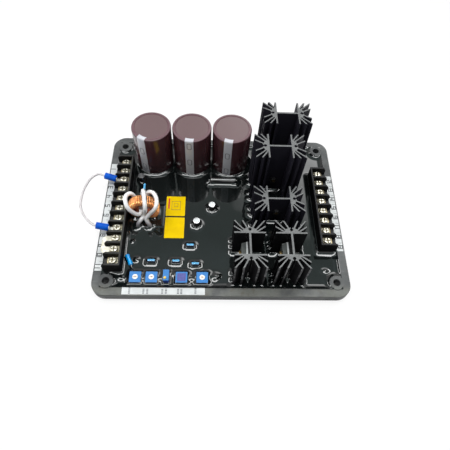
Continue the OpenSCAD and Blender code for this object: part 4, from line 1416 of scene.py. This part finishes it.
@dataclass
class Terminals:
    """Two screw terminal strips and the strap between two terminals; sizes in millimetres."""

    block_edge: float = 0.25
    bar_edge: float = 0.15
    plate_edge: float = 0.2
    screw_edge: float = 0.18
    prong: float = 6.4
    hole: float = 3.7
    hole_sides: int = 24
    strap_width: float = 2.6
    slot_steps: int = 10
    bend: float = 4.4
    bend_steps: int = 8
    strap_sharp: float = 40.0
    # Grey tops over near-black sides, a different grey on each strip: painted sheen where the tops catch the
    # light
    lit_tops: tuple[tuple[str, Colour], ...] = (("left", srgb(56, 56, 55)), ("right", srgb(46, 46, 47)))
    block: TwoFaceFinish = TwoFaceFinish("block_mould", srgb(5, 5, 6), srgb(8, 8, 9), 0.5, patch=5.0,
                                         grain=0.5, relief=0.12, specular=0.1, top_start=0.8, top_full=0.97)
    brass: Finish = Finish("contact_brass", srgb(200, 186, 150), srgb(150, 134, 98), 0.32,
                           metallic=0.9, patch=2.5)
    plate: TerminalFinish = TerminalFinish("clamp_nickel", srgb(176, 170, 150), srgb(104, 96, 78), 0.28,
                                           spread=0.15, metallic=0.9, patch=2.2, grain=0.6, relief=0.2,
                                           scuff=0.3, dust_colour=srgb(82, 76, 60))
    screw: TerminalFinish = TerminalFinish("screw_nickel", srgb(206, 202, 190), srgb(166, 160, 144), 0.3,
                                           metallic=0.9, patch=2.0, grain=0.6, relief=0.25, slotted=True)
    strap: Finish = Finish("link_tin", srgb(208, 205, 192), srgb(170, 166, 150), 0.45,
                           metallic=0.5, patch=3.0, scuff=0.3)

    def build(self) -> None:
        """Dresses the blocks and their metal parts."""
        for side, top in self.lit_tops:
            block = replace(self.block, name=f"block_mould_{side}", top=top)
            dress(f"terminal_block_{side}", block, self.block_edge)
        dress("contact_bars", self.brass, self.bar_edge)
        starts = {f"{side}_start": middle_of(f"terminal_block_{side}").y / MM + lift
                  for side, lift in (("left", 0.0), ("right", TERMINAL_PITCH / 2))}
        dress("clamp_plates", replace(self.plate, **starts), self.plate_edge)
        dress("terminal_screws", replace(self.screw, **starts), self.screw_edge)
        self.add_strap()

    def add_strap(self) -> None:
        """Adds the flat strap between two terminals, with round corners at its outer end."""
        low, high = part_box("terminal_link")
        built = bmesh.new()
        edges = []
        for ring in self.strap_rings((high.x - low.x) / MM, (high.y - low.y) / MM):
            verts = [built.verts.new(low + Vector((x, y, 0)) * MM) for x, y in ring]
            edges += [built.edges.new((verts[k - 1], verts[k])) for k in range(len(verts))]
        bmesh.ops.triangle_fill(built, use_beauty=True, edges=edges)
        raised = bmesh.ops.extrude_face_region(built, geom=built.faces[:], use_keep_orig=True)["geom"]
        bmesh.ops.translate(built, vec=Vector((0, 0, high.z - low.z)),
                            verts=[part for part in raised if isinstance(part, bmesh.types.BMVert)])
        for face in built.faces:
            face.smooth = True
        place_piece("strap", finished(built, self.strap_sharp), self.strap, ["terminal_link"])

    def strap_rings(self, end: float, deep: float) -> list[list[Span]]:
        """Outlines of the strap and of the holes in its two prongs.

        Args:
            end: Length of the strap.
            deep: Its depth over both prongs.

        Returns:
            The outer outline, then the two holes.
        """
        notch, bend, half = deep / 2 - self.prong, self.bend, self.prong / 2
        slot = arc((self.strap_width + notch, deep / 2), notch, 270, 90, self.slot_steps)
        rear = arc((bend, deep - bend), bend, 90, 180, self.bend_steps)
        front = arc((bend, bend), bend, 180, 270, self.bend_steps)
        outer = [(end, 0.0), (end, self.prong), *slot, (end, deep - self.prong), (end, deep), *rear, *front]
        radius = self.hole / 2
        holes = [[(end - half + radius * c, y + radius * s) for c, s in around(self.hole_sides)]
                 for y in (half, deep - half)]
        return [outer, *holes]


@dataclass
class Toroid:
    """Ring core with its copper winding and the thick white lead; sizes in millimetres.

    The ring is as thick as a share of the core's radius and a fixed depth of wire.
    """

    turns: int = 50
    turn_steps: int = 26
    squareness: int = 6
    wire: float = 1.12
    wire_sides: int = 7
    start: float = 280.0
    span: float = 340.0
    core_share: float = 0.286
    wire_depth: float = 1.9
    sway: float = 0.12
    sway_step: float = 0.13
    sway_seed: Span = (0.5, 0.2)
    lead_diameter: float = 3.6
    lead_sides: int = 18
    lead_steps: int = 7
    tail: float = 3.35
    copper: WindingFinish = WindingFinish("enamelled_copper", srgb(246, 180, 112), srgb(218, 138, 76), 0.26,
                                          metallic=0.75, coat=0.6, patch=3.0, grain=1.0)
    sleeving: SleevingFinish = SleevingFinish("lead_sleeving", srgb(232, 232, 231), srgb(220, 220, 220), 0.3,
                                              grain=1.5, coat=0.2)
    ferrite: Finish = Finish("core_coating", srgb(74, 74, 72), srgb(60, 60, 58), 0.6)
    route: tuple[Spot, ...] = (
        (-5.2, -12.6, -10.5), (-4.2, -12, -6.6), (-1.8, -10, -3.6), (0, -6, -3), (0, 0, -3.4),
        (-1.2, 6.8, -2.6), (-5, 8.2, 0), (-8.4, 8.2, 4.4), (-9.8, 8, 8.4), (-11.6, 6.8, 11),
        (-13.7, 4, 12.4), (-14.1, 0, 13.4), (-13.4, -4, 14), (-12, -7.2, 12), (-10, -8.6, 8.4),
        (-7.4, -8.6, 4.6), (-4.6, -8.2, 1.6), (-2.2, -6.2, 0.3), (-2.4, -2, 0.6), (-3, 1, 1.4),
        (-1.9, 6.6, 4.2), (-0.6, 8.2, 9.6), (0.2, 7.8, 14), (1, 5.4, 16.4), (1.8, 1.6, 16.8),
        (2.6, -3.4, 16.4), (3.2, -7.4, 14.2), (2.8, -8.8, 9.6), (2.2, -7.6, 5), (1.6, -3, 2.8),
        (1.6, 1, 2.8), (2.4, 6.6, 5), (3.6, 8.4, 9.6), (6.2, 8.2, 12), (9.4, 5.6, 13.6),
        (11.8, 1, 14), (12.8, -4, 14.2), (12.2, -7.4, 13), (10.4, -8.8, 9.6), (7.1, -8.8, 4.8),
        (4.6, -9.4, 1.4), (2.8, -10.2, -1.8), (3.4, -11.6, -4.8), (4.8, -12.5, -7.6), (5, -12.6, -10.5))

    def build(self) -> None:
        """Winds the core and leads the white sleeving through it."""
        dress("toroid_core", self.ferrite)
        middle = middle_of("toroid_core")
        winding = sweep(self.winding(), self.wire * MM / 2, self.wire_sides)
        place_piece("winding", winding, self.copper, ["toroid_winding"], at=middle)
        points = [Vector(p) for p in self.route]
        down = Vector((0, 0, -self.tail))
        route = [points[0] + down, *smooth_route(points, self.lead_steps), points[-1] + down]
        lead = sweep([p * MM for p in route], self.lead_diameter * MM / 2, self.lead_sides)
        place_piece("lead", lead, self.sleeving, ["toroid_lead"], at=middle)

    def winding(self) -> list[Vector]:
        """Winds a line round the core's section and round the ring.

        Returns:
            The wire's middle line, in metres from the core's middle.
        """
        low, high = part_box("toroid_winding")
        core_low, core_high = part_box("toroid_core")
        out = (high.x - low.x) / 2 - self.wire * MM / 2
        half_long = (high.y - low.y) / 2 - self.wire * MM / 2
        inner = out - (core_high.x - core_low.x) / 2 * self.core_share - self.wire_depth * MM
        count, power = self.turn_steps * self.turns, self.squareness
        line = []
        for i in range(count + 1):
            loop = 2 * math.pi * i / self.turn_steps
            c, s = math.cos(loop), math.sin(loop)
            square = 1 / (c ** power + s ** power) ** (1 / power)
            turn = math.radians(self.start + self.span * i / count)
            sway = self.sway * MM * noise.noise(Vector((i * self.sway_step, *self.sway_seed)))
            radius = (out + inner) / 2 + (out - inner) / 2 * c * square + sway
            line.append(Vector((radius * math.cos(turn), half_long * s * square, radius * math.sin(turn))))
        return line


@dataclass(frozen=True)
class Resistor:
    """A leaded resistor with swollen ends; sizes in millimetres, and its turn from the X axis in degrees.

    The shoulder has a share of the radius and a distance from the end at each point. The swollen end is
    a share of the length, and the waist a share of the radius.
    """

    node: str
    slot: str
    length: float
    diameter: float
    turn: float
    finish: Finish
    sides: int = 28
    shoulder: tuple[Span, ...] = ((0.0, 0.0), (0.55, 0.05), (0.85, 0.3), (1.0, 0.8))
    end_share: float = 1 / 6
    waist_share: float = 0.88
    taper: float = 0.7
    leg: Finish = Finish("leg_tin", srgb(212, 212, 210), srgb(180, 180, 176), 0.3, metallic=1.0)
    leg_diameter: float = 0.8
    leg_sides: int = 10
    leg_out: float = 1.2
    leg_bend: float = 0.6
    leg_inside: float = 0.3

    def build(self) -> None:
        """Builds the body and its legs as one piece with two materials."""
        low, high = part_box(self.node)
        at = middle_of(self.node)
        at.z = high.z - self.diameter * MM / 2
        merged = bmesh.new()
        merged.from_mesh(self.body())
        body_faces = len(merged.faces)
        for side in (-1, 1):
            route = self.leg_route(side, at.z - low.z)
            merged.from_mesh(sweep(route, self.leg_diameter * MM / 2, self.leg_sides))
        mesh = finished(merged, SHARP_ANGLE)
        for finish in (self.finish, self.leg):
            mesh.materials.append(finish.material())
        for polygon in mesh.polygons:
            polygon.material_index = 0 if polygon.index < body_faces else 1
        place_piece(f"body_{self.node}", mesh, self.finish, [self.node], at=at, turn=self.turn)

    def body(self) -> Mesh:
        """Turns the body and lays it along the X axis.

        Returns:
            The body's mesh, round its middle.
        """
        big, end = self.diameter / 2, self.length * self.end_share
        half = [(big * share, out) for share, out in self.shoulder]
        half += [(big, end), (big * self.waist_share, end + self.taper)]
        mesh = lathe(half + [(r, self.length - z) for r, z in reversed(half)], self.sides)
        lay = Matrix.Rotation(math.radians(90), 4, "Y")
        mesh.transform(Matrix.Translation((-self.length * MM / 2, 0, 0)) @ lay)
        return mesh

    def leg_route(self, side: int, drop: float) -> list[Vector]:
        """Middle line of a leg.

        Args:
            side: -1 or 1 for the leg at the low or the high end.
            drop: How far the leg goes down, in metres.

        Returns:
            The points, in metres from the body's middle.
        """
        reach, bend = (self.length / 2 + self.leg_out) * MM, self.leg_bend * MM
        inside = (self.length / 2 - self.leg_inside) * MM
        route = ((inside, 0), (reach - bend, 0), (reach, -bend), (reach, -drop))
        return [Vector((side * out, 0, z)) for out, z in route]


@dataclass
class SmallParts:
    """Small cans, film capacitors and resistors that stand out of the resin; sizes in millimetres."""

    can: TwoFaceFinish = TwoFaceFinish("small_can", srgb(24, 22, 24), srgb(30, 28, 30), 0.2, coat=0.3,
                                       top=srgb(236, 236, 238), top_metal=0.7)
    # The left can's top painted dark grey where it stands in shade: painted shade
    shaded_can: TwoFaceFinish = TwoFaceFinish("small_shaded_can", srgb(24, 22, 24), srgb(30, 28, 30), 0.25,
                                            coat=0.2, top=srgb(78, 78, 80), top_metal=0.4)
    can_sides: int = 40
    can_edge: float = 0.55
    can_steps: int = 5
    can_rim: Span = (0.85, 1.0)
    can_dish: float = 0.15
    # Blue case with its sides painted near-black: painted shade under a top that is pale where the light
    # falls
    film: TwoFaceFinish = TwoFaceFinish("film_case", srgb(10, 30, 54), srgb(8, 24, 44), 0.2, coat=0.4,
                                        top=srgb(82, 160, 206), top_start=0.78, top_full=0.95)
    film_count: int = 4
    film_edge: float = 1.2
    film_steps: int = 5
    blue: Finish = Finish("resistor_lacquer", srgb(4, 156, 228), srgb(2, 132, 210), 0.22, coat=0.3, patch=3.0)
    pale: Finish = Finish("signal_lacquer", srgb(92, 176, 224), srgb(70, 150, 206), 0.25, coat=0.5, patch=3.0)
    black: Finish = Finish("rod_lacquer", srgb(22, 22, 23), srgb(28, 28, 29), 0.34,
                           patch=6.0, coat=1.0, specular=1.0)
    resistors: tuple[Resistor, ...] = (
        Resistor("slanted_resistor", "resistor_blue", 10.6, 3.9, 115.0, blue),
        Resistor("signal_resistor", "resistor_blue", 6.6, 2.5, 90.0, pale),
        Resistor("power_resistor", "resistor_black", 24.6, 5.0, 0.0, black))

    def build(self) -> None:
        """Builds the cans, the film capacitors and the resistors."""
        for side, finish in (("rear", self.can), ("front", self.can), ("left", self.shaded_can)):
            self.add_can(f"small_capacitor_{side}", finish)
        for i in range(1, self.film_count + 1):
            node = f"film_capacitor_{i}"
            mesh = rounded_block(*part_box(node), self.film_edge, self.film_steps)
            place_piece(f"film_{i}", mesh, self.film, [node])
        for resistor in self.resistors:
            resistor.build()

    def add_can(self, node: str, finish: Finish) -> None:
        """Builds one small can with a bare top.

        Args:
            node: The can's node.
            finish: Its finish.
        """
        low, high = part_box(node)
        radius, height = (high.x - low.x) / 2 / MM, (high.z - low.z) / MM
        top = arc((radius - self.can_edge, height - self.can_edge), self.can_edge, 0, 90, self.can_steps)
        rim, dish = [radius - inward for inward in self.can_rim], height - self.can_dish
        outline = [(0, 0), (radius, 0), *top, (rim[0], height), (rim[1], dish), (0, dish)]
        mesh = lathe(outline, self.can_sides)
        place_piece(f"can_{node}", mesh, finish, [node], at=foot_of(node))


@dataclass
class Trimmers:
    """Row of trimmers along the front wall; edges in millimetres."""

    count: int = 5
    open_ones: tuple[int, ...] = (1, 2, 5)
    case_edge: float = 0.25
    rotor_edge: float = 0.12
    screw_edge: float = 0.1
    # Navy sides under a lighter blue top: painted shade on the sides of one blue moulding
    case: TwoFaceFinish = TwoFaceFinish("trimmer_mould", srgb(28, 66, 150), srgb(24, 58, 136), 0.3, patch=4.0,
                                        grain=0.4, top=srgb(58, 120, 184), specular=0.3)
    rotor: RotorFinish = RotorFinish("rotor_mould", srgb(232, 229, 223), srgb(220, 217, 211), 0.4, patch=2.0,
                                     rim=case.top)
    brass: Finish = Finish("adjuster_brass", srgb(236, 200, 112), srgb(210, 168, 84), 0.25,
                           metallic=1.0, patch=1.0)
    film: Finish = Finish("seal_film", srgb(74, 76, 146), srgb(66, 68, 130), 0.35, patch=2.0, coat=0.2)

    def build(self) -> None:
        """Dresses the trimmers, their rotors and the sealed one's film."""
        for i in range(1, self.count + 1):
            dress(f"trimmer_{i}", self.case, self.case_edge)
        for i in self.open_ones:
            node = f"rotor_{i}"
            white = replace(self.rotor, name=f"{node}_mould", middle=tuple(middle_of(node))[:2])
            dress(node, white, self.rotor_edge)
        dress("adjuster_3", self.brass, self.screw_edge)
        dress("seal_4", self.film)


@dataclass
class Labels:
    """Yellow labels on the resin and white ones on the rim, with plain marks and numbers.

    Sizes are in millimetres. The columns are at shares of the front label's width, and their bars have a
    least length and one that varies. Fields on the yellow label are its left, top, right and bottom as
    shares of the label, and an outline has a field and its line's share.
    """

    yellow: Finish = Finish("yellow_film", srgb(218, 186, 1), srgb(210, 176, 1), 0.4, patch=8.0, relief=0.04,
                            specular=0.06)
    white: Finish = Finish("white_film", srgb(198, 202, 202), srgb(188, 192, 192), 0.45, patch=8.0,
                           relief=0.04, dust=0.05)
    ink: Finish = Finish("black_ink", srgb(34, 36, 42), srgb(50, 52, 58), 0.5)
    grey: Finish = Finish("grey_ink", srgb(66, 70, 74), srgb(90, 94, 98), 0.5)
    red: Finish = Finish("red_ink", srgb(186, 30, 12), srgb(172, 26, 10), 0.45)
    olive: Finish = Finish("olive_ink", srgb(160, 132, 4), srgb(146, 120, 4), 0.45)
    lift: float = 0.03
    digit: Span = (2.1, 3.7)
    digit_gap: float = 1.0
    stroke: float = 0.7
    number_shift: Span = (0.8, -2.1)
    half_line: float = 0.15
    line_margin: float = 0.3
    end_margin: float = 1.0
    columns: tuple[float, ...] = (0.09, 0.26, 0.305, 0.485, 0.53, 0.675, 0.715, 0.885)
    column_half: float = 0.8
    column_margins: Span = (0.7, 0.9)
    bar_length: Span = (0.5, 0.8)
    bar_gap: float = 0.5
    bar_seed: Spot = (1.7, 2.3, 0.4)
    red_field: Bar = (0.1, 0.1, 0.185, 0.64)
    outlines: tuple[tuple[Bar, float], ...] = (
        ((0.28, 0.24, 0.76, 0.7), 0.03), ((0.4, 0.36, 0.62, 0.54), 0.025))

    def build(self) -> None:
        """Dresses the labels and prints on them."""
        for row in ("rear", "front"):
            dress(f"yellow_label_{row}", self.yellow)
        for side in ("left", "right", "front"):
            dress(f"rim_label_{side}", self.white)
        self.add_numbers("left", first=1, count=11)
        self.add_numbers("right", first=12, count=8)
        self.add_columns()
        self.add_marks()

    def size_of(self, node: str) -> Span:
        """Width and depth of a label."""
        low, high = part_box(node)
        return (high.x - low.x) / MM, (high.y - low.y) / MM

    def print_bars(self, name: str, node: str, bars: Iterable[Bar], finish: Finish) -> None:
        """Prints flat bars on a label.

        Args:
            name: Name of the printed piece.
            node: The label's node.
            bars: Low x, low y, high x and high y of each bar from the label's middle.
            finish: The ink.
        """
        middle = middle_of(node)
        middle.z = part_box(node)[1].z
        half = self.lift * MM / 2
        built = bmesh.new()
        for low_x, low_y, high_x, high_y in bars:
            add_box(built, (low_x * MM, low_y * MM, -half), (high_x * MM, high_y * MM, half))
        place_piece(name, finished(built), finish, at=middle)

    def add_numbers(self, side: str, first: int, count: int) -> None:
        """Prints one plain number beside each terminal, with short lines between them.

        Args:
            side: The label's side.
            first: The first number, at the back.
            count: How many numbers.
        """
        node = f"rim_label_{side}"
        shift = (middle_of(f"terminal_block_{side}").y - middle_of(node).y) / MM + self.number_shift[1]
        half_wide, half_long = (size / 2 for size in self.size_of(node))
        out = self.number_shift[0] * (1 if side == "right" else -1)
        bars = []
        for i in range(count):
            y = shift + ((count - 1) / 2 - i) * TERMINAL_PITCH
            bars += self.number_bars(str(first + i), out, y)
            edge = y - TERMINAL_PITCH / 2
            if abs(edge) < half_long - self.end_margin:
                bars.append((0, edge - self.half_line, half_wide - self.line_margin, edge + self.half_line))
        self.print_bars(f"print_{side}", node, bars, self.ink)

    def number_bars(self, number: str, out: float, y: float) -> list[Bar]:
        """Bars of a plain number that reads from the front to the back.

        Args:
            number: The digits.
            out: Middle of the number across the label.
            y: Middle of the number along the label.

        Returns:
            The bars.
        """
        wide, high = self.digit
        step = wide + self.digit_gap
        half = self.stroke / 2
        bars = []
        for i, figure in enumerate(number):
            left = (i - len(number) / 2) * step + self.digit_gap / 2 + y
            for segment in DIGITS[int(figure)]:
                (x0, y0), (x1, y1) = SEGMENTS[segment]
                bars.append((out + (0.5 - y1) * high - half, left + x0 * wide - half,
                             out + (0.5 - y0) * high + half, left + x1 * wide + half))
        return bars

    def add_columns(self) -> None:
        """Prints columns of short grey bars on the front label."""
        node = "rim_label_front"
        wide, deep = self.size_of(node)
        first, last = self.column_margins
        least, more = self.bar_length
        seed_x, seed_y, seed_z = self.bar_seed
        bars = []
        for i, share in enumerate(self.columns):
            x, y = (share - 0.5) * wide, first - deep / 2
            while y < deep / 2 - last:
                length = least + more * abs(noise.noise(Vector((i * seed_x, y * seed_y, seed_z))))
                bars.append((x - self.column_half, y, x + self.column_half, y + length))
                y += length + self.bar_gap
        self.print_bars("print_front", node, bars, self.grey)

    def add_marks(self) -> None:
        """Prints a red bar and thin plain outlines on the rear yellow label."""
        node = "yellow_label_rear"
        marks = []
        for (left, top, right, bottom), line in self.outlines:
            marks += [(left, top, right, top + line), (left, bottom - line, right, bottom),
                      (left, top, left + line, bottom), (right - line, top, right, bottom)]
        wide, deep = self.size_of(node)
        prints = (("print_red", [self.red_field], self.red), ("print_olive", marks, self.olive))
        for name, fields, finish in prints:
            bars = [((left - 0.5) * wide, (0.5 - bottom) * deep, (right - 0.5) * wide, (0.5 - top) * deep)
                    for left, top, right, bottom in fields]
            self.print_bars(name, node, bars, finish)


def main() -> None:
    """Builds the regulator's pieces in order and reports them."""
    logging.basicConfig(level=logging.INFO, format="%(message)s")
    kinds = (Studio, Jumper, Tray, Resin, MainCapacitors, HeatSinks, Terminals, Toroid, SmallParts, Trimmers,
             Labels)
    for kind in kinds:
        kind().build()


if __name__ == "__main__":
    main()
